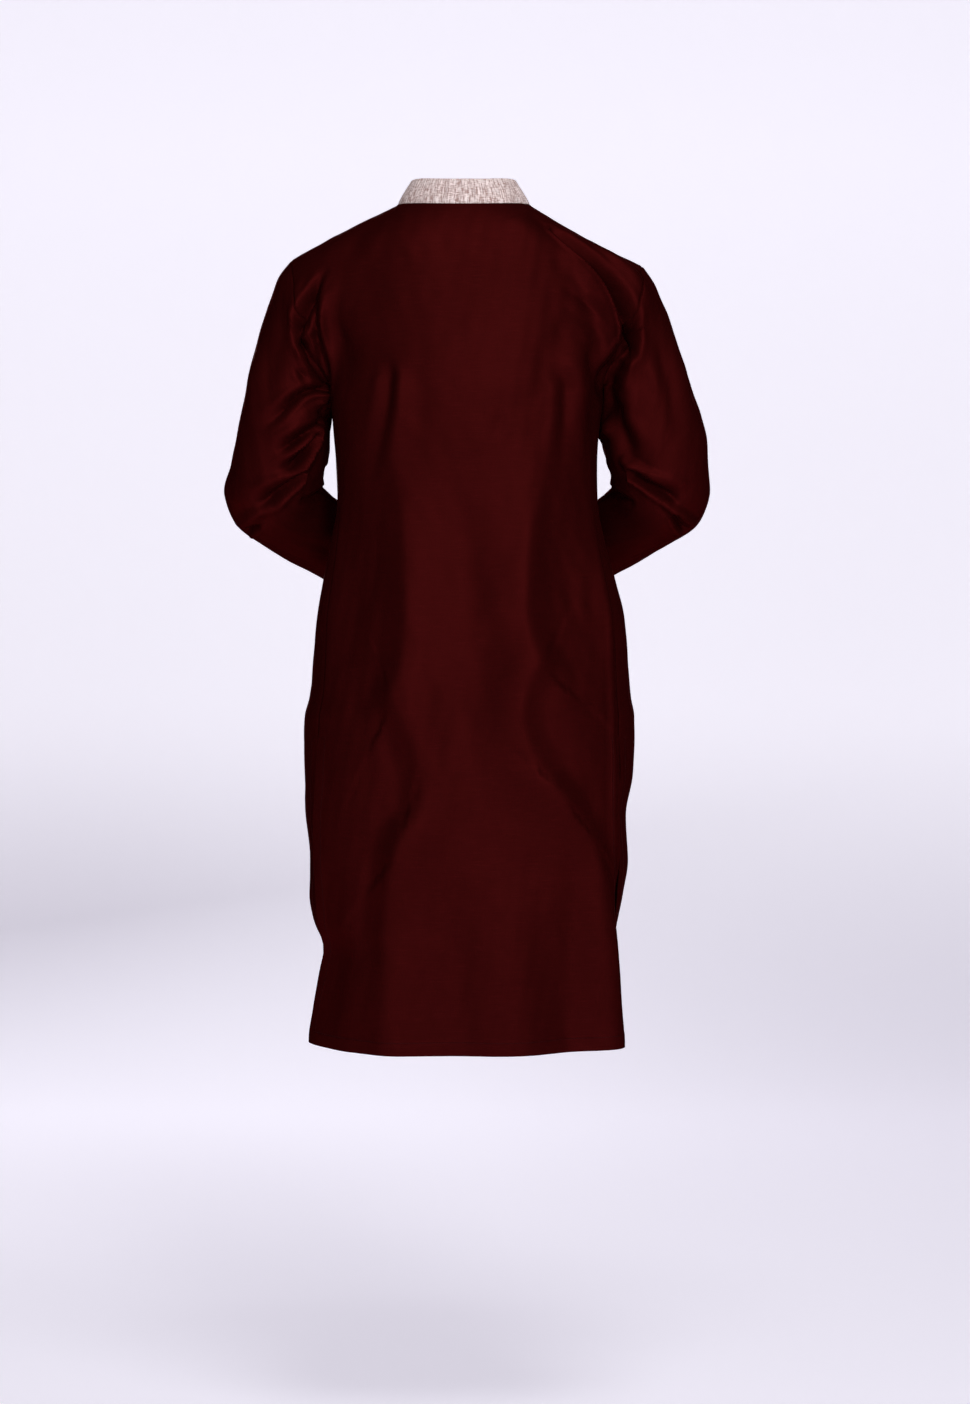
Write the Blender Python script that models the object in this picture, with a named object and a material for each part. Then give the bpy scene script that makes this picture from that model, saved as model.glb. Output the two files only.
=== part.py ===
"""Kurta tunic of dark silk dupion with a pale band collar, open and empty, in the pose in which it is worn.

Metres, +Z up. The origin is on the centre line, level with the neck points, where the shoulders carry it.
The front faces -Y, and the garment's left side is +X. Every piece is a wall of cloth with its own thickness.
"""

from collections import namedtuple

import bmesh
import bpy
import numpy as np

# Cloth
CLOTH = 0.0016
COLLAR_CLOTH = 0.0022
SEAM = 0.0005

# Neck and shoulders
NECK_HALF_WIDTH = 0.085
NECK_ASIDE = 0.004
NECK_BACK = 0.055
NECK_FRONT = 0.072
NECK_POINT_Z = 0.002
NECK_BACK_DROP = 0.0083
NECK_FRONT_DROP = 0.082
NECK_BACK_CURVE = 2.0
NECK_FRONT_CURVE = 1.25
SHOULDER_X = 0.222
SHOULDER_LEFT_Z = -0.070
SHOULDER_RIGHT_Z = -0.0775
SHOULDER_LEFT_ARCH = 0.002
SHOULDER_RIGHT_ARCH = -0.003

# Armhole, from the shoulder point round to the underarm point
UNDERARM_X = 0.1734
UNDERARM_Z = -0.235
ARMHOLE_BACK = 0.064
ARMHOLE_FRONT = 0.058
ARMHOLE_OUT = 0.008
ARMHOLE_STEPS = 12
ARMHOLE_PLANE = (0.957, 0.0, -0.288)
ARMHOLE_GAP = 0.0006
ARMHOLE_REACH = 4.0
YOKE_FULLNESS = 1.5
YOKE_SPREAD = 1.1
YOKE_EDGE = 6
BACK_FALL = 0.50
FRONT_FALL = 0.75
SHOULDER_FALL = 0.25

# Panels, from the centre line to the side seam
NECK_SHARE = 0.42
NECK_COLUMNS = 4
SHOULDER_COLUMNS = 8
BODY_STEPS = 20
SIDE_ROUND = 0.92
FACE_ROUND = 0.80
SLIT_TOP = -0.672
HEM_Z = -1.066
HEM_CORNER_RISE = 0.008

# Front opening
SLOT_HALF_WIDTH = 0.012
BAND_HALF_WIDTH = 0.018
PLACKET_END_Z = -0.410
BUTTON_RADIUS = 0.006
BUTTON_TAPER = 0.8
BUTTON_SIDES = 16
BUTTON_THICK = 0.0026
BUTTON_GAP = 0.0009
BUTTON_FIRST_Z = -0.135
BUTTON_PITCH = 0.075
BUTTON_COUNT = 4

# Sleeves
SLEEVE_SIDES = 2 * ARMHOLE_STEPS
SLEEVE_RINGS_PER_ROW = 2

# Widths are from the centre line to a panel's widest point. An edge is an angle round the body from its back.
Section = namedtuple(
    "Section", "z back_left back_right front_left front_right back_deep front_deep back_edge front_edge"
)
BODY = [
    Section(-0.235, 0.1734, 0.1734, 0.1734, 0.1734, 0.125, 0.118, 90, 90),
    Section(-0.273, 0.1704, 0.1694, 0.1704, 0.1694, 0.122, 0.116, 88, 88),
    Section(-0.330, 0.1654, 0.1646, 0.1654, 0.1646, 0.117, 0.112, 83, 83),
    Section(-0.370, 0.1639, 0.1649, 0.1639, 0.1649, 0.115, 0.110, 78, 78),
    Section(-0.425, 0.1704, 0.1734, 0.1704, 0.1734, 0.115, 0.110, 72, 72),
    Section(-0.475, 0.1809, 0.1874, 0.1809, 0.1874, 0.118, 0.112, 68, 68),
    Section(-0.526, 0.1901, 0.1994, 0.1901, 0.1994, 0.123, 0.114, 66, 66),
    Section(-0.587, 0.1954, 0.2059, 0.1954, 0.2059, 0.129, 0.116, 64, 64),
    Section(-0.624, 0.1999, 0.2089, 0.1999, 0.2089, 0.131, 0.117, 63, 63),
    Section(-0.648, 0.2064, 0.2129, 0.2064, 0.2129, 0.132, 0.118, 62, 62),
    Section(-0.672, 0.2074, 0.2126, 0.2074, 0.2126, 0.132, 0.118, 62, 62),
    Section(-0.718, 0.2104, 0.2134, 0.2056, 0.2104, 0.131, 0.118, 62, 64.5),
    Section(-0.774, 0.2094, 0.2100, 0.2039, 0.2019, 0.129, 0.118, 64, 67),
    Section(-0.829, 0.2064, 0.2083, 0.1974, 0.2032, 0.127, 0.117, 66, 70),
    Section(-0.875, 0.2024, 0.2031, 0.1964, 0.1971, 0.125, 0.116, 68, 74),
    Section(-0.910, 0.1984, 0.2004, 0.1914, 0.1904, 0.124, 0.116, 70, 79),
    Section(-0.945, 0.1889, 0.2004, 0.1814, 0.1864, 0.123, 0.115, 72, 85),
    Section(-0.973, 0.1924, 0.2006, 0.1824, 0.1864, 0.122, 0.115, 74, 91),
    Section(-1.018, 0.2002, 0.2012, 0.1844, 0.1864, 0.120, 0.114, 76, 98),
    Section(-1.065, 0.2049, 0.2024, 0.1864, 0.1874, 0.118, 0.113, 78, 104),
]

# Rings of the left sleeve: centre, the way it runs, half sizes, and what the right sleeve has beyond them.
Ring = namedtuple("Ring", "x y z run_x run_y run_z across deep right_wider")
SLEEVE = [
    Ring(0.1970, 0.000, -0.1525, 0.957, 0.00, -0.288, 0.0862, 0.061, 0.000),
    Ring(0.2073, 0.000, -0.1623, 0.918, 0.00, -0.397, 0.0774, 0.063, -0.003),
    Ring(0.2132, -0.001, -0.1773, 0.856, 0.00, -0.517, 0.0686, 0.063, -0.002),
    Ring(0.2196, -0.002, -0.1971, 0.730, 0.00, -0.683, 0.0601, 0.062, 0.001),
    Ring(0.2248, -0.004, -0.2189, 0.530, 0.00, -0.848, 0.0545, 0.061, 0.003),
    Ring(0.2293, -0.007, -0.2440, 0.278, -0.05, -0.960, 0.0539, 0.060, 0.005),
    Ring(0.2316, -0.011, -0.2737, 0.125, -0.10, -0.987, 0.0579, 0.058, 0.009),
    Ring(0.2349, -0.016, -0.3042, 0.110, -0.13, -0.985, 0.0595, 0.057, 0.012),
    Ring(0.2400, -0.023, -0.3327, 0.060, -0.22, -0.973, 0.0592, 0.057, 0.009),
    Ring(0.2498, -0.034, -0.3580, -0.085, -0.38, -0.920, 0.0605, 0.057, 0.001),
    Ring(0.2455, -0.050, -0.3755, -0.330, -0.54, -0.780, 0.0590, 0.056, -0.001),
    Ring(0.2315, -0.069, -0.3850, -0.530, -0.64, -0.560, 0.0545, 0.054, -0.004),
    Ring(0.2100, -0.091, -0.3990, -0.640, -0.67, -0.385, 0.0530, 0.051, -0.005),
    Ring(0.1720, -0.131, -0.4220, -0.640, -0.67, -0.385, 0.0490, 0.048, -0.004),
    Ring(0.1240, -0.181, -0.4510, -0.640, -0.67, -0.385, 0.0460, 0.045, 0.000),
    Ring(0.0760, -0.231, -0.4800, -0.640, -0.67, -0.385, 0.0430, 0.043, 0.000),
]

# The collar round the neck, by the angle from its back: how far it leans inwards, and its rise.
Rise = namedtuple("Rise", "around lean rise")
COLLAR = [
    Rise(0, 0.008, 0.0310),
    Rise(45, 0.013, 0.0315),
    Rise(90, 0.0187, 0.0305),
    Rise(135, 0.012, 0.0310),
    Rise(180, 0.004, 0.0320),
]
COLLAR_STEPS = 3
COLLAR_FRONT_GAP = 0.003
COLLAR_FOOT = 0.03

# Folds of a panel run from one point over a bend point to another. Height is positive for a ridge.
Fold = namedtuple("Fold", "x0 z0 x1 z1 x2 z2 width height")
BACK_FOLDS = [
    Fold(0.078, -0.165, 0.080, -0.240, 0.076, -0.330, 0.018, 0.0030),
    Fold(0.101, -0.175, 0.098, -0.265, 0.106, -0.400, 0.018, -0.0050),
    Fold(-0.134, -0.150, -0.140, -0.200, -0.138, -0.290, 0.020, 0.0040),
    Fold(-0.116, -0.190, -0.116, -0.280, -0.122, -0.400, 0.018, -0.0050),
    Fold(0.160, -0.085, 0.205, -0.120, 0.180, -0.215, 0.018, -0.0045),
    Fold(-0.140, -0.080, -0.200, -0.120, -0.180, -0.205, 0.018, -0.0055),
    Fold(0.098, -0.560, 0.104, -0.800, 0.100, -1.070, 0.034, 0.0045),
    Fold(-0.060, -0.700, -0.120, -0.850, -0.160, -1.070, 0.034, 0.0050),
    Fold(-0.010, -0.800, -0.020, -0.950, -0.030, -1.070, 0.034, -0.0040),
    Fold(-0.130, -0.400, -0.120, -0.560, -0.125, -0.700, 0.034, -0.0040),
]
FRONT_FOLDS = [
    Fold(0.100, -0.180, 0.120, -0.280, 0.110, -0.400, 0.020, -0.0040),
    Fold(-0.110, -0.180, -0.105, -0.280, -0.120, -0.400, 0.020, -0.0040),
    Fold(0.150, -0.090, 0.190, -0.130, 0.178, -0.210, 0.018, -0.0040),
    Fold(-0.150, -0.090, -0.190, -0.130, -0.178, -0.210, 0.018, -0.0040),
    Fold(0.080, -0.600, 0.095, -0.800, 0.090, -1.070, 0.034, 0.0050),
    Fold(-0.070, -0.560, -0.100, -0.800, -0.105, -1.070, 0.034, 0.0050),
    Fold(0.010, -0.700, 0.000, -0.900, -0.010, -1.070, 0.034, -0.0040),
]

# Folds of the left sleeve go by ring and angle: 0 at the shoulder, 90 at the back and 180 under the arm.
SleeveFold = namedtuple("SleeveFold", "ring0 angle0 ring1 angle1 width height")
SLEEVE_FOLDS = [
    SleeveFold(4.6, 150, 7.6, 60, 0.014, -0.0040),
    SleeveFold(7.2, 170, 9.2, 80, 0.013, -0.0045),
    SleeveFold(9.0, 160, 10.6, 60, 0.013, 0.0035),
    SleeveFold(10.0, 170, 11.7, 70, 0.013, -0.0045),
    SleeveFold(9.4, 215, 11.2, 290, 0.013, -0.0040),
    SleeveFold(7.8, 220, 9.2, 300, 0.013, -0.0040),
]
FOLD_STEPS = 24
FOLD_END = 0.15
FOLD_SIDE_FADE = 0.12
FOLD_TOP_FADE = 0.25
FOLD_RINGS_FADE = 2.0
SMOOTH_ANGLE = 50

SILK = (0.030, 0.0022, 0.0035, 1.0)
WEAVE = (0.50, 0.36, 0.32, 1.0)
SHELL = (0.045, 0.010, 0.010, 1.0)


def unit(vectors):
    return vectors / np.maximum(np.linalg.norm(vectors, axis=-1, keepdims=True), 1e-12)


def smooth(table, column, place, key=None):
    """A column's value on a smooth curve through the table's rows, by row number or by a key column."""
    values = np.array([getattr(row, column) for row in table], float)
    places = np.array([i if key is None else getattr(row, key) for i, row in enumerate(table)], float)
    order = np.argsort(places)
    places, values = places[order], values[order]
    rates = np.diff(values) / np.diff(places)
    before, after = np.concatenate([[0], rates]), np.concatenate([rates, [0]])
    same = before * after > 0
    slopes = np.where(same, 2 * before * after / np.where(same, before + after, 1), 0)
    place = np.clip(place, places[0], places[-1])
    i = np.clip(np.searchsorted(places, place, side="right") - 1, 0, len(places) - 2)
    step = places[i + 1] - places[i]
    t = (place - places[i]) / step
    return (
        (2 * t**3 - 3 * t**2 + 1) * values[i]
        + (t**3 - 2 * t**2 + t) * step * slopes[i]
        + (3 * t**2 - 2 * t**3) * values[i + 1]
        + (t**3 - t**2) * step * slopes[i + 1]
    )


def section_point(face, u, z):
    """A point below the armholes. face is 1 for the back and -1 for the front. u runs from side to side."""
    name = "back" if face > 0 else "front"
    left = smooth(BODY, name + "_left", z, "z")
    right = smooth(BODY, name + "_right", z, "z")
    edge = smooth(BODY, name + "_edge", z, "z")
    angle = np.radians(u * (edge if face > 0 else 180 - edge))
    across, along = np.sin(angle), np.cos(angle)
    deep = np.where(
        along * face > 0, smooth(BODY, "back_deep", z, "z"), smooth(BODY, "front_deep", z, "z")
    )
    x = np.where(across > 0, left, right) * np.sign(across) * np.abs(across) ** SIDE_ROUND
    y = face * deep * np.sign(along) * np.abs(along) ** FACE_ROUND
    corner = np.clip((SLIT_TOP - z) / (SLIT_TOP - HEM_Z), 0, 1) * np.abs(u) ** 2 * HEM_CORNER_RISE
    return np.stack([x, y, z + corner], -1)


def neck_point(face, around):
    """A point of the neckline, by the angle from the centre of that face, 90 at the neck point."""
    angle = np.radians(around)
    deep = NECK_BACK if face > 0 else NECK_FRONT
    drop = NECK_BACK_DROP if face > 0 else NECK_FRONT_DROP
    power = NECK_BACK_CURVE if face > 0 else NECK_FRONT_CURVE
    across, along = np.sin(angle), np.abs(np.cos(angle))
    x = NECK_ASIDE + NECK_HALF_WIDTH * np.sign(across) * np.abs(across) ** SIDE_ROUND
    return np.stack([x, face * deep * along, NECK_POINT_Z - drop * along**power], -1)


def top_point(face, u):
    """A point of a panel's top edge: the neckline, then the shoulder seam out to the shoulder point."""
    share = np.clip((np.abs(u) - NECK_SHARE) / (1 - NECK_SHARE), 0, 1)
    neck = neck_point(face, 90 * np.clip(u / NECK_SHARE, -1, 1))
    x = np.sign(u) * (NECK_HALF_WIDTH + (SHOULDER_X - NECK_HALF_WIDTH) * share) + NECK_ASIDE * (1 - share)
    end = np.where(u > 0, SHOULDER_LEFT_Z, SHOULDER_RIGHT_Z)
    arch = np.where(u > 0, SHOULDER_LEFT_ARCH, SHOULDER_RIGHT_ARCH)
    z = NECK_POINT_Z + (end - NECK_POINT_Z) * share + arch * np.sin(np.pi * share)
    seam = np.stack([x, np.full_like(x, face * SEAM / 2), z], -1)
    return np.where((np.abs(u) >= NECK_SHARE)[..., None], seam, neck)


def yoke_point(face, u, v):
    """A point of the body above the underarm: v is 0 at the top edge and 1 at the underarm."""
    top, low = top_point(face, u), section_point(face, u, np.full_like(u, UNDERARM_Z))
    outer = np.abs(u)
    swing = (1 - np.cos(np.pi * v)) / 2
    centre = (BACK_FALL if face > 0 else FRONT_FALL) - SHOULDER_FALL
    straight = SHOULDER_FALL + centre * np.cos(np.pi / 2 * np.clip(outer / NECK_SHARE, 0, 1))
    arch = (1 - straight) * (1 - np.cos(np.pi * v / 2)) + straight * v
    fall = arch + (swing - arch) * outer**3
    deep = ARMHOLE_BACK if face > 0 else ARMHOLE_FRONT
    x = top[..., 0] + (low[..., 0] - top[..., 0]) * swing
    x = x + np.sign(u) * ARMHOLE_OUT * outer**2 * np.sin(np.pi * v) ** 2
    y = top[..., 1] + (low[..., 1] - top[..., 1]) * np.sin(np.pi * v / 2)
    edge = outer**YOKE_EDGE
    bulge = edge + (1 - edge) * YOKE_FULLNESS * (1 - v)
    y = y + face * deep * outer**YOKE_SPREAD * np.sin(np.pi * v) * bulge
    z = top[..., 2] + (low[..., 2] - top[..., 2]) * fall
    return np.stack([x, y, z], -1)


def body_point(face, u, w):
    """A point of a panel by its row: w is 0 at the top edge, 1 at the underarm and 2 at the hem."""
    u, w = np.broadcast_arrays(np.asarray(u, float), np.asarray(w, float))
    z = UNDERARM_Z + (HEM_Z - UNDERARM_Z) * np.clip(w - 1, 0, 1)
    return np.where(
        (w < 1)[..., None], yoke_point(face, u, np.clip(w, 0, 1)), section_point(face, u, z)
    )


def bezier(p0, p1, p2):
    t = np.linspace(0, 1, FOLD_STEPS)[:, None]
    return (1 - t) ** 2 * np.array(p0) + 2 * t * (1 - t) * np.array(p1) + t**2 * np.array(p2)


def fold_height(places, path, width, height):
    """The lift that one fold gives at these places: full at the middle of its path, least at its ends."""
    distance = np.linalg.norm(places[..., None, :] - path, axis=-1)
    near = distance.argmin(-1) / (len(path) - 1)
    fade = np.clip(4 * near * (1 - near), FOLD_END, 1)
    return height * fade * np.exp(-((distance.min(-1) / width) ** 2))


def outward(points, sign, wrap=False):
    """Normals of a grid whose rows run down. sign is 1 for a back whose columns run towards the left."""
    down = np.gradient(points, axis=0)
    if wrap:
        along = (np.roll(points, -1, axis=1) - np.roll(points, 1, axis=1)) / 2
    else:
        along = np.gradient(points, axis=1)
    return unit(np.cross(along, down)) * sign


def armhole_point(angle, side=1):
    """The armhole by its angle: 0 at the shoulder point, 90 at the back and 180 under the arm."""
    turn = np.radians(angle)
    share = (1 - np.cos(turn)) / 2
    top = SHOULDER_LEFT_Z if side > 0 else SHOULDER_RIGHT_Z
    x = SHOULDER_X + (UNDERARM_X - SHOULDER_X) * share + ARMHOLE_OUT * np.sin(turn) ** 2
    y = np.where(np.sin(turn) > 0, ARMHOLE_BACK, ARMHOLE_FRONT) * np.sin(turn)
    return np.stack([x, y, top + (UNDERARM_Z - top) * share], -1)


def armhole_normal(angle):
    """The way out of the armhole's loop, in its plane, so that sleeve and panels end face to face."""
    ahead, behind = armhole_point(angle + 1.0), armhole_point(angle - 1.0)
    return unit(np.cross(np.array(ARMHOLE_PLANE), ahead - behind))


def seam_normals(w, side):
    """Normals along a side seam that both panels share, so that their walls end on one plane."""
    near = side * np.array([0.97, 1.0])
    rows, columns = np.meshgrid(w, near, indexing="ij")
    both = [outward(body_point(face, columns, rows), face * side) for face in (1, -1)]
    return unit(both[0][:, 1] + both[1][:, 1])


def panel_grid(face, u, w, neck):
    """A panel's outer points and normals, with its folds, and its seams drawn back by half the gap."""
    points = body_point(face, u, w)
    normals = outward(points, face)
    lift = np.zeros(points.shape[:2])
    for fold in BACK_FOLDS if face > 0 else FRONT_FOLDS:
        path = bezier((fold.x0, fold.z0), (fold.x1, fold.z1), (fold.x2, fold.z2))
        lift += fold_height(points[..., [0, 2]], path, fold.width, fold.height)
    rim = np.clip((1 - np.abs(u)) / FOLD_SIDE_FADE, 0, 1) * np.clip(w / FOLD_TOP_FADE, 0, 1)
    points = points + normals * (lift * rim)[..., None]
    normals = outward(points, face)
    normals[0] *= (1, 0, 1)
    for column, place in enumerate(np.round(u[0], 6)):
        if abs(place) <= NECK_SHARE:
            normals[0, column] = neck[face, place]
    slit = 1 + (SLIT_TOP - UNDERARM_Z) / (HEM_Z - UNDERARM_Z)
    for column, beside, side in ((0, 1, -1), (-1, -2, 1)):
        rows = w[:, column]
        below, sewn = rows >= 1, (rows >= 1) & (rows <= slit)
        inwards = unit(points[:, beside] - points[:, column])
        points[below, column] += inwards[below] * SEAM / 2
        normals[sewn, column] = seam_normals(rows, side)[sewn]
        hole = armhole_normal(180 * rows[rows <= 1] * face)
        normals[rows <= 1, column] = hole * (side, 1, 1)
    return points, unit(normals)


def row_stations():
    """The rows of a panel: even round the armhole, then even down to the hem, with one at the slit's top."""
    upper = np.linspace(0, 1, ARMHOLE_STEPS + 1)[:-1]
    slit = 1 + (SLIT_TOP - UNDERARM_Z) / (HEM_Z - UNDERARM_Z)
    above = round(BODY_STEPS * (slit - 1))
    middle = np.linspace(1, slit, above + 1)[:-1]
    return np.concatenate([upper, middle, np.linspace(slit, 2, BODY_STEPS - above + 1)])


def half_columns():
    """Columns from the centre line to the side, with one at the neck point."""
    neck = np.linspace(0, NECK_SHARE, NECK_COLUMNS + 1)
    shoulder = np.linspace(NECK_SHARE, 1, SHOULDER_COLUMNS + 1)[1:]
    return np.concatenate([neck, shoulder])


def front_columns(w):
    """The front's columns for a row. The slot's and the band's edges keep their distance from the centre."""
    dense = np.linspace(0, NECK_SHARE, 60)
    across = body_point(-1, dense, np.full_like(dense, w))[:, 0]
    slot, band = np.interp([SLOT_HALF_WIDTH, BAND_HALF_WIDTH], across - across[0], dense)
    rest = half_columns()[2:]
    half = np.concatenate([[slot, band], rest])
    return np.concatenate([-half[::-1], [0.0], half])


def wall(name, outer, inner, kept=None, wrap=False):
    """A closed wall between two grids of points. kept says which quads exist, and wrap closes the columns."""
    rows, columns = outer.shape[:2]
    across = columns if wrap else columns - 1
    kept = np.ones((rows - 1, across), bool) if kept is None else kept
    mesh = bmesh.new()
    made = {}

    def corner(layer, r, c):
        place = (layer, r, c % columns)
        if place not in made:
            made[place] = mesh.verts.new((outer, inner)[layer][r, c % columns])
        return made[place]

    for r, c in np.argwhere(kept):
        ring = [(r, c), (r + 1, c), (r + 1, c + 1), (r, c + 1)]
        mesh.faces.new([corner(0, *p) for p in ring])
        mesh.faces.new([corner(1, *p) for p in reversed(ring)])
    for edge in [e for e in mesh.edges if e.is_boundary]:
        places = [key for key, vert in made.items() if vert in edge.verts and key[0] == 0]
        if len(places) == 2:
            (_, r0, c0), (_, r1, c1) = places
            mesh.faces.new([corner(0, r0, c0), corner(0, r1, c1), corner(1, r1, c1), corner(1, r0, c0)])
    bmesh.ops.recalc_face_normals(mesh, faces=mesh.faces)
    data = bpy.data.meshes.new(name)
    mesh.to_mesh(data)
    mesh.free()
    data.shade_smooth()
    data.set_sharp_from_angle(angle=np.radians(SMOOTH_ANGLE))
    piece = bpy.data.objects.new(name, data)
    bpy.context.scene.collection.objects.link(piece)
    return piece


def cloth_material(name, colour, roughness):
    material = bpy.data.materials.new(name)
    material.use_nodes = True
    shader = material.node_tree.nodes["Principled BSDF"]
    shader.inputs["Base Color"].default_value = colour
    shader.inputs["Roughness"].default_value = roughness
    shader.inputs["Metallic"].default_value = 0.0
    material.diffuse_color = colour
    return material


def make_back(silk, neck):
    half = half_columns()
    columns = np.concatenate([-half[:0:-1], half])
    w, u = np.meshgrid(row_stations(), columns, indexing="ij")
    points, normals = panel_grid(1, u, w, neck)
    piece = wall("back", points, points - normals * CLOTH)
    piece.data.materials.append(silk)


def make_front_and_placket(silk, neck):
    """The front is cut down its centre to the placket's end, and a band lies over and under the cut."""
    rows = row_stations()
    u = np.array([front_columns(w) for w in rows])
    w = np.repeat(rows[:, None], u.shape[1], axis=1)
    points, normals = panel_grid(-1, u, w, neck)
    centre = points.shape[1] // 2
    last = int(np.argmin(np.abs(points[:, centre, 2] - PLACKET_END_Z)))
    kept = np.ones((points.shape[0] - 1, points.shape[1] - 1), bool)
    kept[: last - 1, centre - 1 : centre + 1] = False
    piece = wall("front", points, points - normals * CLOTH, kept)
    piece.data.materials.append(silk)
    across = slice(centre - 2, centre + 3)
    strip, out = points[: last + 1, across], normals[: last + 1, across]
    for name, level in (("placket_over", SEAM), ("placket_under", -2 * CLOTH - SEAM)):
        low = strip + out * level
        band = wall(name, low + out * CLOTH, low)
        band.data.materials.append(silk)
    return strip + out * (SEAM + CLOTH), out


def make_buttons(surface, normals, shell):
    """Round buttons down the centre of the upper band."""
    centre = surface.shape[1] // 2
    line, out = surface[:, centre], normals[:, centre]
    for number in range(BUTTON_COUNT):
        z = BUTTON_FIRST_Z - BUTTON_PITCH * number
        place = np.array([np.interp(z, line[::-1, 2], line[::-1, k]) for k in range(3)])
        facing = unit(np.array([np.interp(z, line[::-1, 2], out[::-1, k]) for k in range(3)]))
        mesh = bmesh.new()
        bmesh.ops.create_cone(
            mesh,
            cap_ends=True,
            segments=BUTTON_SIDES,
            radius1=BUTTON_RADIUS,
            radius2=BUTTON_RADIUS * BUTTON_TAPER,
            depth=BUTTON_THICK,
        )
        data = bpy.data.meshes.new(f"button_{number + 1}")
        mesh.to_mesh(data)
        mesh.free()
        button = bpy.data.objects.new(data.name, data)
        button.location = place + facing * (BUTTON_GAP + BUTTON_THICK / 2)
        button.rotation_euler = (np.arccos(facing[2]), 0, np.arctan2(facing[0], -facing[1]))
        data.materials.append(shell)
        bpy.context.scene.collection.objects.link(button)


def collar_grid():
    """The collar's outer points and normals, and those that it shares with the panels along the neckline."""
    half = half_columns()[: NECK_COLUMNS + 1]
    front = front_columns(0.0)
    front = front[(front > 0) & (front < NECK_SHARE + 1e-9)]
    end = front[0] * COLLAR_FRONT_GAP / SLOT_HALF_WIDTH
    front = np.concatenate([[end], front])
    left = [(-1, u) for u in front] + [(1, u) for u in half[::-1][1:]]
    stations = left + [(face, -u) for face, u in left[-2::-1]]
    base, rise = [], []
    for face, u in stations:
        around = 90 * u / NECK_SHARE
        foot = neck_point(face, np.array(around))
        behind = np.abs(around) if face > 0 else 180 - np.abs(around)
        inward = unit(np.array([NECK_ASIDE - foot[0], -foot[1], 0.0]))
        lean = smooth(COLLAR, "lean", behind, "around")
        height = smooth(COLLAR, "rise", behind, "around")
        base.append(foot)
        rise.append(inward * lean + np.array([0, 0, height]))
    base, rise = np.array(base), np.array(rise)
    shares = np.linspace(0, 1, COLLAR_STEPS + 1)
    shares[0] = COLLAR_FOOT
    points = np.array([base + rise * share for share in shares[::-1]])
    normals = outward(points, -1)
    neck = {(face, round(float(u), 6)): normals[-1, i] for i, (face, u) in enumerate(stations)}
    for side in (1, -1):
        neck[1, round(side * NECK_SHARE, 6)] = neck[-1, round(side * NECK_SHARE, 6)]
    neck[-1, 0.0] = unit(normals[-1, 0] + normals[-1, -1])
    return points, normals, neck


def sleeve_frames(side, places):
    """Centres, directions to the outside and to the back, and half sizes of rings along a sleeve."""
    wider = smooth(SLEEVE, "right_wider", places) * (side < 0)
    centre = np.stack([smooth(SLEEVE, axis, places) for axis in "xyz"], -1)
    run = unit(np.stack([smooth(SLEEVE, "run_" + axis, places) for axis in "xyz"], -1))
    outer = np.zeros_like(run)
    reference = unit(armhole_point(0.0, side) - armhole_point(180.0, side))
    for i, way in enumerate(run):
        reference = unit(reference - way * (reference @ way))
        outer[i] = reference
    back = np.cross(outer, run)
    centre = centre + outer * wider[:, None] / 2
    return centre, outer, back, smooth(SLEEVE, "across", places) + wider / 2, smooth(SLEEVE, "deep", places)


def sleeve_point(side, places, angles):
    """Points of the left sleeve, or of the right one before it is mirrored."""
    centre, outer, back, across, deep = sleeve_frames(side, places)
    turn = np.radians(angles)
    points = (
        centre[:, None]
        + outer[:, None] * (across[:, None] * np.cos(turn))[..., None]
        + back[:, None] * (deep[:, None] * np.sin(turn))[..., None]
    )
    first = (
        centre[0]
        + outer[0] * (across[0] * np.cos(turn))[:, None]
        + back[0] * (deep[0] * np.sin(turn))[:, None]
    )
    seam = armhole_point(angles, side) + unit(np.array(ARMHOLE_PLANE)) * ARMHOLE_GAP
    fade = np.clip(1 - places / ARMHOLE_REACH, 0, 1) ** 2
    return points + (seam - first) * fade[:, None, None]


def make_sleeve(name, side, silk):
    count = (len(SLEEVE) - 1) * SLEEVE_RINGS_PER_ROW + 1
    places = np.linspace(0, len(SLEEVE) - 1, count)
    angles = np.arange(SLEEVE_SIDES) * 360 / SLEEVE_SIDES
    points = sleeve_point(side, places, angles)
    normals = outward(points, -1, wrap=True)
    lift = np.zeros(points.shape[:2])
    for fold in SLEEVE_FOLDS:
        t = np.linspace(0, 1, FOLD_STEPS)
        along = fold.ring0 + (fold.ring1 - fold.ring0) * t
        turn = fold.angle0 + (fold.angle1 - fold.angle0) * t
        every = sleeve_point(side, np.concatenate([[0.0], along]), turn)
        path = every[1 + np.arange(FOLD_STEPS), np.arange(FOLD_STEPS)]
        lift += fold_height(points, path, fold.width, fold.height)
    lift *= np.clip(places / FOLD_RINGS_FADE, 0, 1)[:, None]
    points = points + normals * lift[..., None]
    normals = outward(points, -1, wrap=True)
    normals[0] = armhole_normal(angles)
    inner = points - normals * CLOTH
    if side < 0:
        points, inner = points * (-1, 1, 1), inner * (-1, 1, 1)
    piece = wall(name, points, inner, wrap=True)
    piece.data.materials.append(silk)


def main():
    for old in list(bpy.data.objects):
        bpy.data.objects.remove(old)
    silk = cloth_material("silk", SILK, 0.55)
    weave = cloth_material("collar_weave", WEAVE, 0.75)
    shell = cloth_material("button_shell", SHELL, 0.35)
    points, normals, neck = collar_grid()
    wall("collar", points, points - normals * COLLAR_CLOTH).data.materials.append(weave)
    make_back(silk, neck)
    surface, normals = make_front_and_placket(silk, neck)
    make_buttons(surface, normals, shell)
    make_sleeve("sleeve_left", 1, silk)
    make_sleeve("sleeve_right", -1, silk)


main()
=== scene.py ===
from collections import namedtuple

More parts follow.
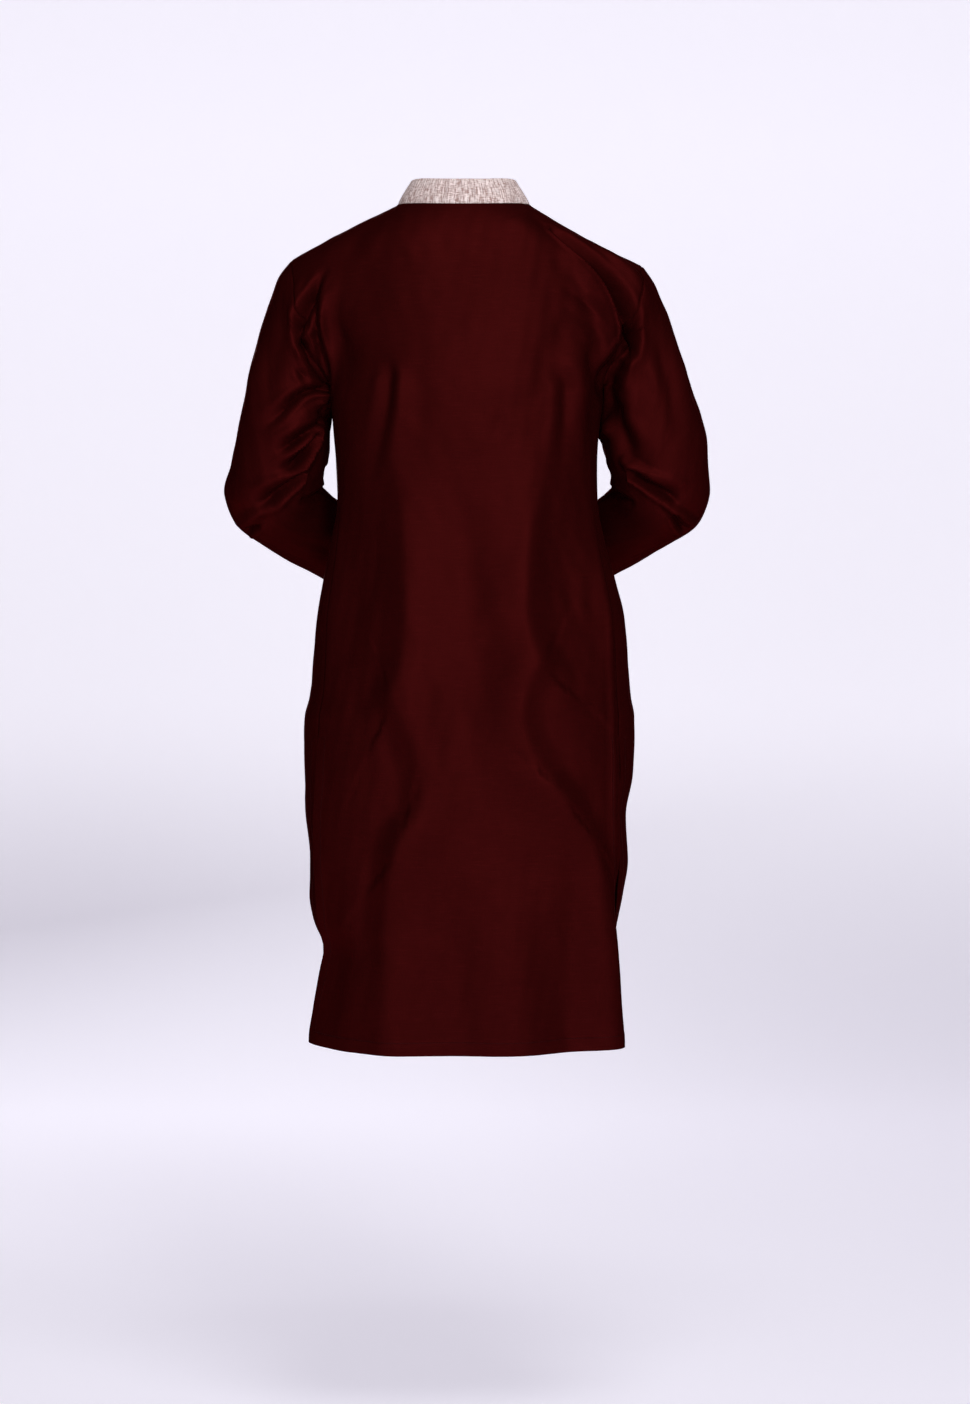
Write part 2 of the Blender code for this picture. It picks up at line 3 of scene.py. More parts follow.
import bmesh
import bpy
import numpy as np
from mathutils import Matrix, Vector


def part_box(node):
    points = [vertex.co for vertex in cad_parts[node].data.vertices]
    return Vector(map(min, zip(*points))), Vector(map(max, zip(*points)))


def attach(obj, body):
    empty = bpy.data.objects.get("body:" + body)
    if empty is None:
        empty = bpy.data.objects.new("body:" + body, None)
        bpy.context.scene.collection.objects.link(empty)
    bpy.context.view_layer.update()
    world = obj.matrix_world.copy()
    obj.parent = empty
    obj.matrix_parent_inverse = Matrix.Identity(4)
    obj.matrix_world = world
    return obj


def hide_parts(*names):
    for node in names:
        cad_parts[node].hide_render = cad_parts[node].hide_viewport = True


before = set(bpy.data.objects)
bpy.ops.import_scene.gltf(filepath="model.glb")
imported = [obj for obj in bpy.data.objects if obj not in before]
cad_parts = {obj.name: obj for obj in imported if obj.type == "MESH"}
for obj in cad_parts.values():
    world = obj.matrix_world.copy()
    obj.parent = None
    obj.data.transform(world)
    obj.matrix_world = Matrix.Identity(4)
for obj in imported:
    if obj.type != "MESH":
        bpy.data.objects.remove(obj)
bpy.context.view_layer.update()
bpy.context.scene.view_settings.view_transform = "Standard"
print("frame loaded")

# the form that every cloth piece follows, in metres, with the same sizes as the solids
form = {
    "neckHalfWidth": 0.085,
    "neckAside": 0.004,
    "neckPointHeight": 0.000,
    "neckBackDeep": 0.055,
    "neckFrontDeep": 0.072,
    "neckBackDrop": 0.0063,
    "neckFrontDrop": 0.082,
    "neckBackCurve": 2.0,
    "neckFrontCurve": 1.25,
    "shoulderX": 0.222,
    "shoulderLeft": -0.070,
    "shoulderRight": -0.0775,
    "shoulderLeftArch": 0.002,
    "shoulderRightArch": -0.003,
    "underarmX": 0.1734,
    "underarmHeight": -0.235,
    "armholeBack": 0.064,
    "armholeFront": 0.058,
    "armholeOut": 0.008,
    "yokeFullness": 1.5,
    "yokeSpread": 1.1,
    "yokeEdge": 6,
    "backFall": 0.50,
    "frontFall": 0.75,
    "shoulderFall": 0.25,
    "neckShare": 0.42,
    "sideRound": 0.92,
    "faceRound": 0.80,
    "slitTop": -0.672,
    "hem": -1.066,
    "hemCornerRise": 0.008,
    "armholeReach": 4.0,
    "neckSoften": 0.075,
    "allowance": 0.005,
    "contactLeft": 0.034,
    "contactRight": 0.066,
    "bodyClearance": 0.0002,
}
armholePlane = np.array((0.957, 0.0, -0.288))

Section = namedtuple(
    "Section", "z backLeft backRight frontLeft frontRight backDeep frontDeep backEdge frontEdge"
)
sections = [
    Section(-0.235, 0.1734, 0.1734, 0.1734, 0.1734, 0.125, 0.118, 90, 90),
    Section(-0.273, 0.1704, 0.1694, 0.1704, 0.1694, 0.122, 0.116, 88, 88),
    Section(-0.330, 0.1654, 0.1646, 0.1654, 0.1646, 0.117, 0.112, 83, 83),
    Section(-0.370, 0.1639, 0.1649, 0.1639, 0.1649, 0.115, 0.110, 78, 78),
    Section(-0.425, 0.1704, 0.1734, 0.1704, 0.1734, 0.115, 0.110, 72, 72),
    Section(-0.475, 0.1809, 0.1874, 0.1809, 0.1874, 0.118, 0.112, 68, 68),
    Section(-0.526, 0.1901, 0.1994, 0.1901, 0.1994, 0.123, 0.114, 66, 66),
    Section(-0.587, 0.1954, 0.2059, 0.1954, 0.2059, 0.129, 0.116, 64, 64),
    Section(-0.624, 0.1999, 0.2089, 0.1999, 0.2089, 0.131, 0.117, 63, 63),
    Section(-0.648, 0.2064, 0.2129, 0.2064, 0.2129, 0.132, 0.118, 62, 62),
    Section(-0.672, 0.2074, 0.2126, 0.2074, 0.2126, 0.132, 0.118, 62, 62),
    Section(-0.718, 0.2104, 0.2134, 0.2056, 0.2104, 0.131, 0.118, 62, 64.5),
    Section(-0.774, 0.2094, 0.2100, 0.2039, 0.2019, 0.129, 0.118, 64, 67),
    Section(-0.829, 0.2064, 0.2083, 0.1974, 0.2032, 0.127, 0.117, 66, 70),
    Section(-0.875, 0.2024, 0.2031, 0.1964, 0.1971, 0.125, 0.116, 68, 74),
    Section(-0.910, 0.1984, 0.2004, 0.1914, 0.1904, 0.124, 0.116, 70, 79),
    Section(-0.945, 0.1889, 0.2004, 0.1814, 0.1864, 0.123, 0.115, 72, 85),
    Section(-0.973, 0.1924, 0.2006, 0.1824, 0.1864, 0.122, 0.115, 74, 91),
    Section(-1.018, 0.2002, 0.2012, 0.1844, 0.1864, 0.120, 0.114, 76, 98),
    Section(-1.065, 0.2049, 0.2024, 0.1864, 0.1874, 0.118, 0.113, 78, 104),
]

Ring = namedtuple("Ring", "x y z runX runY runZ across deep rightWider")
rings = [
    Ring(0.1970, 0.000, -0.1525, 0.957, 0.00, -0.288, 0.0862, 0.061, 0.000),
    Ring(0.2073, 0.000, -0.1623, 0.918, 0.00, -0.397, 0.0774, 0.063, -0.003),
    Ring(0.2132, -0.001, -0.1773, 0.856, 0.00, -0.517, 0.0686, 0.063, -0.002),
    Ring(0.2196, -0.002, -0.1971, 0.730, 0.00, -0.683, 0.0601, 0.062, 0.001),
    Ring(0.2248, -0.004, -0.2189, 0.530, 0.00, -0.848, 0.0545, 0.061, 0.003),
    Ring(0.2293, -0.007, -0.2440, 0.278, -0.05, -0.960, 0.0539, 0.060, 0.005),
    Ring(0.2316, -0.011, -0.2737, 0.125, -0.10, -0.987, 0.0579, 0.058, 0.009),
    Ring(0.2349, -0.016, -0.3042, 0.110, -0.13, -0.985, 0.0595, 0.057, 0.012),
    Ring(0.2400, -0.023, -0.3327, 0.060, -0.22, -0.973, 0.0592, 0.057, 0.009),
    Ring(0.2498, -0.034, -0.3580, -0.085, -0.38, -0.920, 0.0605, 0.057, 0.001),
    Ring(0.2455, -0.050, -0.3755, -0.330, -0.54, -0.780, 0.0590, 0.056, -0.001),
    Ring(0.2315, -0.069, -0.3850, -0.530, -0.64, -0.560, 0.0545, 0.054, -0.004),
    Ring(0.2100, -0.091, -0.3990, -0.640, -0.67, -0.385, 0.0530, 0.051, -0.005),
    Ring(0.1720, -0.131, -0.4220, -0.640, -0.67, -0.385, 0.0490, 0.048, -0.004),
    Ring(0.1240, -0.181, -0.4510, -0.640, -0.67, -0.385, 0.0460, 0.045, 0.000),
    Ring(0.0760, -0.231, -0.4800, -0.640, -0.67, -0.385, 0.0430, 0.043, 0.000),
]


def unit(vectors):
    return vectors / np.maximum(np.linalg.norm(vectors, axis=-1, keepdims=True), 1e-12)


def smoothColumn(table, column, place, key=None):
    values = np.array([getattr(row, column) for row in table], float)
    places = np.array([i if key is None else getattr(row, key) for i, row in enumerate(table)], float)
    order = np.argsort(places)
    places, values = places[order], values[order]
    rates = np.diff(values) / np.diff(places)
    before, after = np.concatenate([[0], rates]), np.concatenate([rates, [0]])
    same = before * after > 0
    slopes = np.where(same, 2 * before * after / np.where(same, before + after, 1), 0)
    place = np.clip(place, places[0], places[-1])
    i = np.clip(np.searchsorted(places, place, side="right") - 1, 0, len(places) - 2)
    step = places[i + 1] - places[i]
    t = (place - places[i]) / step
    return (
        (2 * t**3 - 3 * t**2 + 1) * values[i]
        + (t**3 - 2 * t**2 + t) * step * slopes[i]
        + (3 * t**2 - 2 * t**3) * values[i + 1]
        + (t**3 - t**2) * step * slopes[i + 1]
    )


def sectionPoint(face, u, z):  # below the armholes; face is 1 for the back and -1 for the front
    name = "back" if face > 0 else "front"
    left, right, edge = (smoothColumn(sections, name + part, z, "z") for part in ("Left", "Right", "Edge"))
    angle = np.radians(u * (edge if face > 0 else 180 - edge))
    across, along = np.sin(angle), np.cos(angle)
    backDeep, frontDeep = (smoothColumn(sections, column, z, "z") for column in ("backDeep", "frontDeep"))
    deep = np.where(along * face > 0, backDeep, frontDeep)
    x = np.where(across > 0, left, right) * np.sign(across) * np.abs(across) ** form["sideRound"]
    y = face * deep * np.sign(along) * np.abs(along) ** form["faceRound"]
    low = np.clip((form["slitTop"] - z) / (form["slitTop"] - form["hem"]), 0, 1)
    return np.stack([x, y, z + low * np.abs(u) ** 2 * form["hemCornerRise"]], -1)


def neckPoint(face, around):  # by the angle from the centre of that face; 90 is the neck point
    angle = np.radians(around)
    name = "neckBack" if face > 0 else "neckFront"
    across, along = np.sin(angle), np.abs(np.cos(angle))
    x = form["neckAside"] + form["neckHalfWidth"] * np.sign(across) * np.abs(across) ** form["sideRound"]
    z = form["neckPointHeight"] - form[name + "Drop"] * along ** form[name + "Curve"]
    return np.stack([x, face * form[name + "Deep"] * along, z], -1)


def topPoint(face, u):  # the neckline, then the shoulder seam out to the shoulder point
    share = np.clip((np.abs(u) - form["neckShare"]) / (1 - form["neckShare"]), 0, 1)
    neck = neckPoint(face, 90 * np.clip(u / form["neckShare"], -1, 1))
    reach = form["neckHalfWidth"] + (form["shoulderX"] - form["neckHalfWidth"]) * share
    x = np.sign(u) * reach + form["neckAside"] * (1 - share)
    end = np.where(u > 0, form["shoulderLeft"], form["shoulderRight"])
    arch = np.where(u > 0, form["shoulderLeftArch"], form["shoulderRightArch"])
    z = form["neckPointHeight"] + (end - form["neckPointHeight"]) * share + arch * np.sin(np.pi * share)
    seam = np.stack([x, np.full_like(x, face * 0.00025), z], -1)
    return np.where((np.abs(u) >= form["neckShare"])[..., None], seam, neck)


def yokePoint(face, u, v):  # above the underarm: v is 0 at the top edge and 1 at the underarm
    top, low = topPoint(face, u), sectionPoint(face, u, np.full_like(u, form["underarmHeight"]))
    outer = np.abs(u)
    swing = (1 - np.cos(np.pi * v)) / 2
    centre = form["backFall" if face > 0 else "frontFall"] - form["shoulderFall"]
    straight = form["shoulderFall"] + centre * np.cos(np.pi / 2 * np.clip(outer / form["neckShare"], 0, 1))
    arch = (1 - straight) * (1 - np.cos(np.pi * v / 2)) + straight * v
    fall = arch + (swing - arch) * outer**3
    x = top[..., 0] + (low[..., 0] - top[..., 0]) * swing
    x = x + np.sign(u) * form["armholeOut"] * outer**2 * np.sin(np.pi * v) ** 2
    y = top[..., 1] + (low[..., 1] - top[..., 1]) * np.sin(np.pi * v / 2)
    edge = outer ** form["yokeEdge"]
    bulge = edge + (1 - edge) * form["yokeFullness"] * (1 - v)
    deep = form["armholeBack" if face > 0 else "armholeFront"]
    y = y + face * deep * outer ** form["yokeSpread"] * np.sin(np.pi * v) * bulge
    return np.stack([x, y, top[..., 2] + (low[..., 2] - top[..., 2]) * fall], -1)


def bodyPoint(face, u, w):  # w is 0 at the top edge, 1 at the underarm and 2 at the hem
    u, w = np.broadcast_arrays(np.asarray(u, float), np.asarray(w, float))
    z = form["underarmHeight"] + (form["hem"] - form["underarmHeight"]) * np.clip(w - 1, 0, 1)
    return np.where((w < 1)[..., None], yokePoint(face, u, np.clip(w, 0, 1)), sectionPoint(face, u, z))


def softenRows(base, u, w):
    # takes the corner that the neck point leaves in a row's run away, more and more below the shoulder
    even = np.linspace(-1, 1, 401)
    for i in range(len(base)):
        size = form["neckSoften"] * np.clip(w[i, 0] / 0.35, 0, 1) * np.clip((1.25 - w[i, 0]) / 0.4, 0, 1)
        if size < 0.004:
            continue
        kernel = np.exp(-0.5 * (np.arange(-60, 61) * 0.005 / size) ** 2)
        kernel /= kernel.sum()
        for k in range(3):
            row = np.interp(even, u[i], base[i, :, k])
            padded = np.concatenate([2 * row[0] - row[60:0:-1], row, 2 * row[-1] - row[-2:-62:-1]])
            base[i, :, k] += np.interp(u[i], even, np.convolve(padded, kernel, "valid") - row)
    return base


def gridNormals(points, sign, wrap=False):
    down = np.gradient(points, axis=0)
    if wrap:
        along = (np.roll(points, -1, axis=1) - np.roll(points, 1, axis=1)) / 2
    else:
        along = np.gradient(points, axis=1)
    return unit(np.cross(along, down)) * sign


def armholePoint(angle, side=1):  # 0 at the shoulder point, 90 at the back, 180 under the arm
    turn = np.radians(angle)
    share = (1 - np.cos(turn)) / 2
    top = form["shoulderLeft" if side > 0 else "shoulderRight"]
    x = form["shoulderX"] + (form["underarmX"] - form["shoulderX"]) * share
    x = x + form["armholeOut"] * np.sin(turn) ** 2
    y = np.where(np.sin(turn) > 0, form["armholeBack"], form["armholeFront"]) * np.sin(turn)
    return np.stack([x, y, top + (form["underarmHeight"] - top) * share], -1)


def armholeNormal(angle):
    return unit(np.cross(armholePlane, armholePoint(angle + 1.0) - armholePoint(angle - 1.0)))


def sleevePoint(side, places, angles):  # for side -1 the right sleeve, before it is mirrored
    wider = smoothColumn(rings, "rightWider", places) * (side < 0)
    centre = np.stack([smoothColumn(rings, axis, places) for axis in "xyz"], -1)
    run = unit(np.stack([smoothColumn(rings, "run" + axis, places) for axis in "XYZ"], -1))
    outer = np.zeros_like(run)
    reference = unit(armholePoint(0.0, side) - armholePoint(180.0, side))
    for i, way in enumerate(run):
        reference = unit(reference - way * (reference @ way))
        outer[i] = reference
    back = np.cross(outer, run)
    centre = centre + outer * wider[:, None] / 2
    across, deep = smoothColumn(rings, "across", places) + wider / 2, smoothColumn(rings, "deep", places)
    turn = np.radians(angles)
    ring = outer[:, None] * (across[:, None] * np.cos(turn))[..., None]
    ring = ring + back[:, None] * (deep[:, None] * np.sin(turn))[..., None]
    first = centre[0] + ring[0]
    seam = armholePoint(angles, side)
    fade = np.clip(1 - places / form["armholeReach"], 0, 1) ** 2
    return centre[:, None] + ring + (seam - first) * fade[:, None, None]


# a fold is a soft trough or ridge on a path through three places of its piece; its width and height
# are metres, lean makes one flank wider, first and last are the shares of height at its two ends
Fold = namedtuple("Fold", "u0 w0 u1 w1 u2 w2 wide high lean first last")
foldShape = {
    "reach": 5.4,  # how many widths away a fold is still felt
    "crispBelow": 0.009,  # narrower folds than this have sharper crests
    "crisp": 1.6,
    "soft": 2.0,
    "flank": 0.26,  # the cloth beside a fold goes the other way by this share
    "flankAt": 2.1,
    "flankWide": 0.8,
    "endPower": 1.3,
}


def makeFolds(*rows):
    return [Fold(*row) for row in rows]


def foldPath(fold, count=28):
    t = np.linspace(0, 1, count)[:, None]
    a, b, c = np.array([(fold.u0, fold.w0), (fold.u1, fold.w1), (fold.u2, fold.w2)], float)
    middle = 2 * b - (a + c) / 2
    return (1 - t) ** 2 * a + 2 * t * (1 - t) * middle + t**2 * c


def foldLift(points, normals, path, fold):
    lift = np.zeros(points.shape[:2])
    reach = foldShape["reach"] * fold.wide * (1 + abs(fold.lean))
    near = ((points > path.min(0) - reach) & (points < path.max(0) + reach)).all(-1)
    place, out = points[near], normals[near]
    if not len(place):
        return lift
    start, step = path[:-1], np.diff(path, axis=0)
    away = place[:, None] - start
    share = np.clip((away * step).sum(-1) / np.maximum((step**2).sum(-1), 1e-12), 0, 1)
    away = away - share[..., None] * step
    far = np.linalg.norm(away, axis=-1)
    best = far.argmin(1)
    pick = np.arange(len(place))
    side = np.sign((np.cross(step[best], out) * away[pick, best]).sum(-1))
    t = (best + share[pick, best]) / len(step)
    atEnd = np.where(t < 0.5, fold.first, fold.last)
    strength = atEnd + (1 - atEnd) * np.sin(np.pi * np.minimum(t, 1)) ** foldShape["endPower"]
    q = far[pick, best] / (fold.wide * (0.75 + 0.5 * t) * (1 + fold.lean * side))
    power = foldShape["crisp" if fold.wide < foldShape["crispBelow"] else "soft"]
    flank = np.exp(-(((q - foldShape["flankAt"]) / foldShape["flankWide"]) ** 2))
    lift[near] = fold.high * strength * (np.exp(-(q**power)) - foldShape["flank"] * flank)
    return lift


def ripples(x, y, seed, count=9):  # small unevenness of hanging cloth, from -1 to 1
    chance = np.random.default_rng(seed)
    total = np.zeros_like(x)
    for _ in range(count):
        turn, phase = chance.uniform(0, 2 * np.pi), chance.uniform(0, 2 * np.pi)
        size = chance.uniform(0.6, 1.7)
        total += np.sin((x * np.cos(turn) + y * np.sin(turn)) * size * 2 * np.pi + phase)
    return total / count * 1.6


def alongGrid(points, axis):
    length = np.linalg.norm(np.diff(points, axis=axis), axis=-1)
    first = np.zeros_like(np.take(points, [0], axis=axis)[..., 0])
    return np.concatenate([first, np.cumsum(length, axis=axis)], axis=axis)


def socketGroup(name, inputs, outputs):
    group = bpy.data.node_groups.new(name, "ShaderNodeTree")
    for label, kind, value in inputs:
        socket = group.interface.new_socket(name=label, in_out="INPUT", socket_type=kind)
        if value is not None:
            socket.default_value = value
    for label, kind in outputs:
        group.interface.new_socket(name=label, in_out="OUTPUT", socket_type=kind)
    return group, group.nodes.new("NodeGroupInput"), group.nodes.new("NodeGroupOutput")


def mathNode(tree, kind, first, second=None, third=None):
    node = tree.nodes.new("ShaderNodeMath")
    node.operation = kind
    for socket, value in zip(node.inputs, (first, second, third)):
        if isinstance(value, bpy.types.NodeSocket):
            tree.links.new(value, socket)
        elif value is not None:
            socket.default_value = value
    return node.outputs[0]


def times(tree, first, second):
    return mathNode(tree, "MULTIPLY", first, second)


def rangeNode(tree, value, low, high, toLow=0.0, toHigh=1.0):
    node = tree.nodes.new("ShaderNodeMapRange")
    node.interpolation_type = "SMOOTHSTEP"
    tree.links.new(value, node.inputs[0])
    for socket, number in zip(node.inputs[1:5], (low, high, toLow, toHigh)):
        socket.default_value = number
    return node.outputs[0]


def noiseNode(tree, vector, stretch, detail):
    mapping = tree.nodes.new("ShaderNodeMapping")
    mapping.inputs["Scale"].default_value = stretch
    tree.links.new(vector, mapping.inputs["Vector"])
    noise = tree.nodes.new("ShaderNodeTexNoise")
    noise.inputs["Scale"].default_value = 1.0
    noise.inputs["Detail"].default_value = detail
    tree.links.new(mapping.outputs[0], noise.inputs["Vector"])
    return noise.outputs[0]


def mixColour(tree, factor, first, second):
    node = tree.nodes.new("ShaderNodeMix")
    node.data_type = "RGBA"
    for socket, value in ((node.inputs[0], factor), (node.inputs[6], first), (node.inputs[7], second)):
        if isinstance(value, bpy.types.NodeSocket):
            tree.links.new(value, socket)
        else:
            socket.default_value = value
    return node.outputs[2]


# how long and how close each kind of thread is, as shares of the cloth's own, and its noise detail
weaveLook = {"weft": (1.0, 1.0, 1.0), "warp": (1.6, 1.3, 1.0), "slubs": (1.0, 0.33, 0.0),
             "bars": (0.12, 0.16, 2.0), "weftShare": 0.6, "warpShare": 0.4, "slubHigh": 0.35}


def makeWeaveGroup():
    # threads both ways with thicker slubs: a mask of the slubs, a shade and the height of the threads
    group, start, end = socketGroup(
        "slubWeave",
        [("Place", "NodeSocketVector", None), ("Threads", "NodeSocketFloat", 1500.0),
         ("Slub Length", "NodeSocketFloat", 30.0), ("Unevenness", "NodeSocketFloat", 0.5)],
        [("Shade", "NodeSocketFloat"), ("Slubs", "NodeSocketFloat"), ("Bars", "NodeSocketFloat"),
         ("Height", "NodeSocketFloat")],
    )
    split = group.nodes.new("ShaderNodeSeparateXYZ")
    group.links.new(start.outputs["Place"], split.inputs[0])
    across, down = split.outputs[0], split.outputs[1]
    threads, slub = start.outputs["Threads"], start.outputs["Slub Length"]

    def woven(long, short, longShare, closeShare, detail):
        join = group.nodes.new("ShaderNodeCombineXYZ")
        group.links.new(times(group, long, times(group, slub, longShare)), join.inputs[0])
        group.links.new(times(group, short, times(group, threads, closeShare)), join.inputs[1])
        return noiseNode(group, join.outputs[0], (1, 1, 1), detail)

    weft = woven(across, down, *weaveLook["weft"])
    warp = woven(down, across, *weaveLook["warp"])
    slubs = woven(across, down, *weaveLook["slubs"])
    bars = woven(across, down, *weaveLook["bars"])
    slubMask = rangeNode(group, slubs, 0.60, 0.74)
    group.links.new(rangeNode(group, bars, 0.18, 0.82), end.inputs["Bars"])
    weftPart = times(group, weft, weaveLook["weftShare"])
    warpPart = times(group, warp, weaveLook["warpShare"])
    both = mathNode(group, "ADD", weftPart, warpPart)
    shade = mathNode(group, "SUBTRACT", both, 0.5)
    shade = mathNode(group, "MULTIPLY_ADD", shade, start.outputs["Unevenness"], 0.5)
    group.links.new(shade, end.inputs["Shade"])
    group.links.new(slubMask, end.inputs["Slubs"])
    height = mathNode(group, "MULTIPLY_ADD", slubMask, weaveLook["slubHigh"], both)
    group.links.new(height, end.inputs["Height"])
    return group


weaveGroup = makeWeaveGroup()
# a stitch and the space to the next one; the hem's sewing runs this far inside the turned edge
sewing = {"stitch": 0.0026, "gap": 0.0007, "wide": 0.00020, "high": 0.00022, "inside": 0.0016}


def makeCloth(name, values):
    material = bpy.data.materials.new(name)
    material.use_nodes = True
    tree = material.node_tree
    shader = tree.nodes["Principled BSDF"]
    place = tree.nodes.new("ShaderNodeUVMap")
    place.uv_map = "cloth"
    weave = tree.nodes.new("ShaderNodeGroup")
    weave.node_tree = weaveGroup
    tree.links.new(place.outputs[0], weave.inputs["Place"])
    for label in ("Threads", "Slub Length", "Unevenness"):
        weave.inputs[label].default_value = values[label]
    colour = mixColour(tree, weave.outputs["Shade"], values["dark"], values["light"])
    for mask, show, other in (("Slubs", "slubShow", "slub"), ("Bars", "barShow", "bar")):
        colour = mixColour(tree, times(tree, weave.outputs[mask], values[show]), colour, values[other])
    spots = tree.nodes.new("ShaderNodeTexCoord")
    cloud = rangeNode(tree, noiseNode(tree, spots.outputs["Object"], (5, 5, 3.5), 3.0), 0.3, 0.7)
    colour = mixColour(tree, times(tree, cloud, values["cloud"]), colour, values["dark"])
    height = weave.outputs["Height"]
    if "hemWidth" in values:
        # the turned hem and its line of sewing, and beside a seam the allowance; painted shade darkens the
        # line of sewing and the cloth beside a seam
        hem = tree.nodes.new("ShaderNodeAttribute")
        hem.attribute_name = "hemNear"
        seam = tree.nodes.new("ShaderNodeAttribute")
        seam.attribute_name = "seamNear"
        edge = values["hemWidth"]
        turned = rangeNode(tree, hem.outputs["Fac"], edge - 0.0008, edge + 0.0012, 1.0, 0.0)
        sewnLine = mathNode(tree, "SUBTRACT", hem.outputs["Fac"], edge - sewing["inside"])
        sewnLine = rangeNode(tree, mathNode(tree, "ABSOLUTE", sewnLine), *values["sewnReach"], 1.0, 0.0)
        seamLine = rangeNode(tree, seam.outputs["Fac"], *values["seamReach"], 1.0, 0.0)
        # painted shade: the colour goes towards the shadow colour along the hem's sewing and beside seams
        dark = mathNode(tree, "MAXIMUM", times(tree, sewnLine, values["sewnShade"]),
                        times(tree, seamLine, values["seamShade"]))
        colour = mixColour(tree, dark, colour, values["shadow"])
        height = mathNode(tree, "ADD", height, times(tree, turned, values["turnHigh"]))
        height = mathNode(tree, "SUBTRACT", height, times(tree, sewnLine, values["sewnDeep"]))
    tree.links.new(colour, shader.inputs["Base Color"])
    rough = mathNode(tree, "MULTIPLY_ADD", weave.outputs["Shade"], values["roughSpread"], values["rough"])
    tree.links.new(rough, shader.inputs["Roughness"])
    bump = tree.nodes.new("ShaderNodeBump")
    bump.inputs["Strength"].default_value = values["bump"]
    bump.inputs["Distance"].default_value = values["bumpDeep"]
    tree.links.new(height, bump.inputs["Height"])
    tree.links.new(bump.outputs[0], shader.inputs["Normal"])
    for label in ("Metallic", "Specular IOR Level", "Specular Tint",
                  "Sheen Weight", "Sheen Roughness", "Sheen Tint"):
        shader.inputs[label].default_value = values[label]
    material.diffuse_color = values["light"]
    return material


silkLook = {
    "dark": (0.0250, 0.0017, 0.0018, 1),
    "light": (0.0600, 0.0044, 0.0044, 1),
    "slub": (0.0800, 0.0070, 0.0070, 1),
    "bar": (0.0330, 0.0023, 0.0024, 1),
    # the colour of the painted shade along the hem's sewing and beside seams
    "shadow": (0.0060, 0.0003, 0.0003, 1),
    "slubShow": 0.10,
    "barShow": 0.22,
    "cloud": 0.20,
    "Threads": 1500.0,
    "Slub Length": 42.0,
    "Unevenness": 0.9,
    "rough": 0.52,
    "roughSpread": 0.12,
    "Metallic": 0.65,
    "Specular IOR Level": 0.0,
    "Specular Tint": (0.25, 0.02, 0.02, 1),
    "Sheen Weight": 0.0,
    "Sheen Roughness": 0.45,
    "Sheen Tint": (0.6, 0.06, 0.06, 1),
    "bump": 0.30,
    "bumpDeep": 0.0004,
    "hemWidth": 0.018,
    "sewnReach": (0.0003, 0.0012),
    "seamReach": (0.0004, 0.0030),
    # how strongly the painted shade darkens the sewn line and the cloth beside a seam
    "sewnShade": 0.35,
    "seamShade": 0.3,
    "turnHigh": 1.6,
    "sewnDeep": 1.2,
}
collarLook = {
    "dark": (0.390, 0.240, 0.215, 1),
    "light": (1.000, 0.870, 0.850, 1),
    "slub": (0.780, 0.690, 0.680, 1),
    "bar": (0.330, 0.235, 0.220, 1),
    "slubShow": 0.40,
    "barShow": 0.45,
    "cloud": 0.05,
    "Threads": 640.0,
    "Slub Length": 90.0,
    "Unevenness": 6.5,
    "rough": 0.75,
    "roughSpread": 0.12,
    "Metallic": 0.0,
    "Specular IOR Level": 0.30,
    "Specular Tint": (1, 1, 1, 1),
    "Sheen Weight": 0.05,
    "Sheen Roughness": 0.5,
    "Sheen Tint": (1, 0.9, 0.88, 1),
    "bump": 0.6,
    "bumpDeep": 0.0004,
}
silk = makeCloth("dupionSilk", silkLook)
collarCloth = makeCloth("slubbedCollarCloth", collarLook)


def makePlain(name, colour, rough, spread, specular):
    material = bpy.data.materials.new(name)
    material.use_nodes = True
    tree = material.node_tree
    shader = tree.nodes["Principled BSDF"]
    place = tree.nodes.new("ShaderNodeTexCoord")
    grain = noiseNode(tree, place.outputs["Object"], (900, 900, 900), 3.0)
    swirl = noiseNode(tree, place.outputs["Object"], (160, 160, 260), 4.0)
    darker = tuple(value * (1 - spread) for value in colour[:3]) + (1,)
    lighter = tuple(min(1, value * (1 + spread)) for value in colour[:3]) + (1,)
    colours = mixColour(tree, rangeNode(tree, swirl, 0.35, 0.65), darker, lighter)
    tree.links.new(colours, shader.inputs["Base Color"])
    tree.links.new(mathNode(tree, "MULTIPLY_ADD", grain, 0.15, rough), shader.inputs["Roughness"])
    shader.inputs["Specular IOR Level"].default_value = specular
    material.diffuse_color = colour
    return material


buttonShell = makePlain("buttonShell", (0.045, 0.010, 0.010, 1), 0.25, 0.45, 0.5)
thread = makePlain("sewingThread", (0.050, 0.0022, 0.0040, 1), 0.5, 0.3, 0.15)
collarThread = makePlain("collarThread", (0.62, 0.50, 0.46, 1), 0.6, 0.15, 0.2)
print("materials made")


shell = {
    "silkThick": 0.0010,
    "collarThick": 0.0022,
    "seamDip": 0.0008,
    "seamDipWidth": 0.0015,
    "hemRaise": 0.0003,
    "seamStill": 0.014,
    "smoothAngle": 48,
    "bevelAngle": 60,
}


def choose(piece):
    bpy.ops.object.select_all(action="DESELECT")
    piece.select_set(True)
    bpy.context.view_layer.objects.active = piece


def placePiece(name, mesh):
    piece = bpy.data.objects.new(name, mesh)
    bpy.context.scene.collection.objects.link(piece)
    choose(piece)
    return piece


def roundEdges(piece, width, segments, angle):
    soft = piece.modifiers.new("softEdge", "BEVEL")
    soft.width = width
    soft.segments = segments
    soft.limit_method = "ANGLE"
    soft.angle_limit = np.radians(angle)
    bpy.ops.object.modifier_apply(modifier=soft.name)


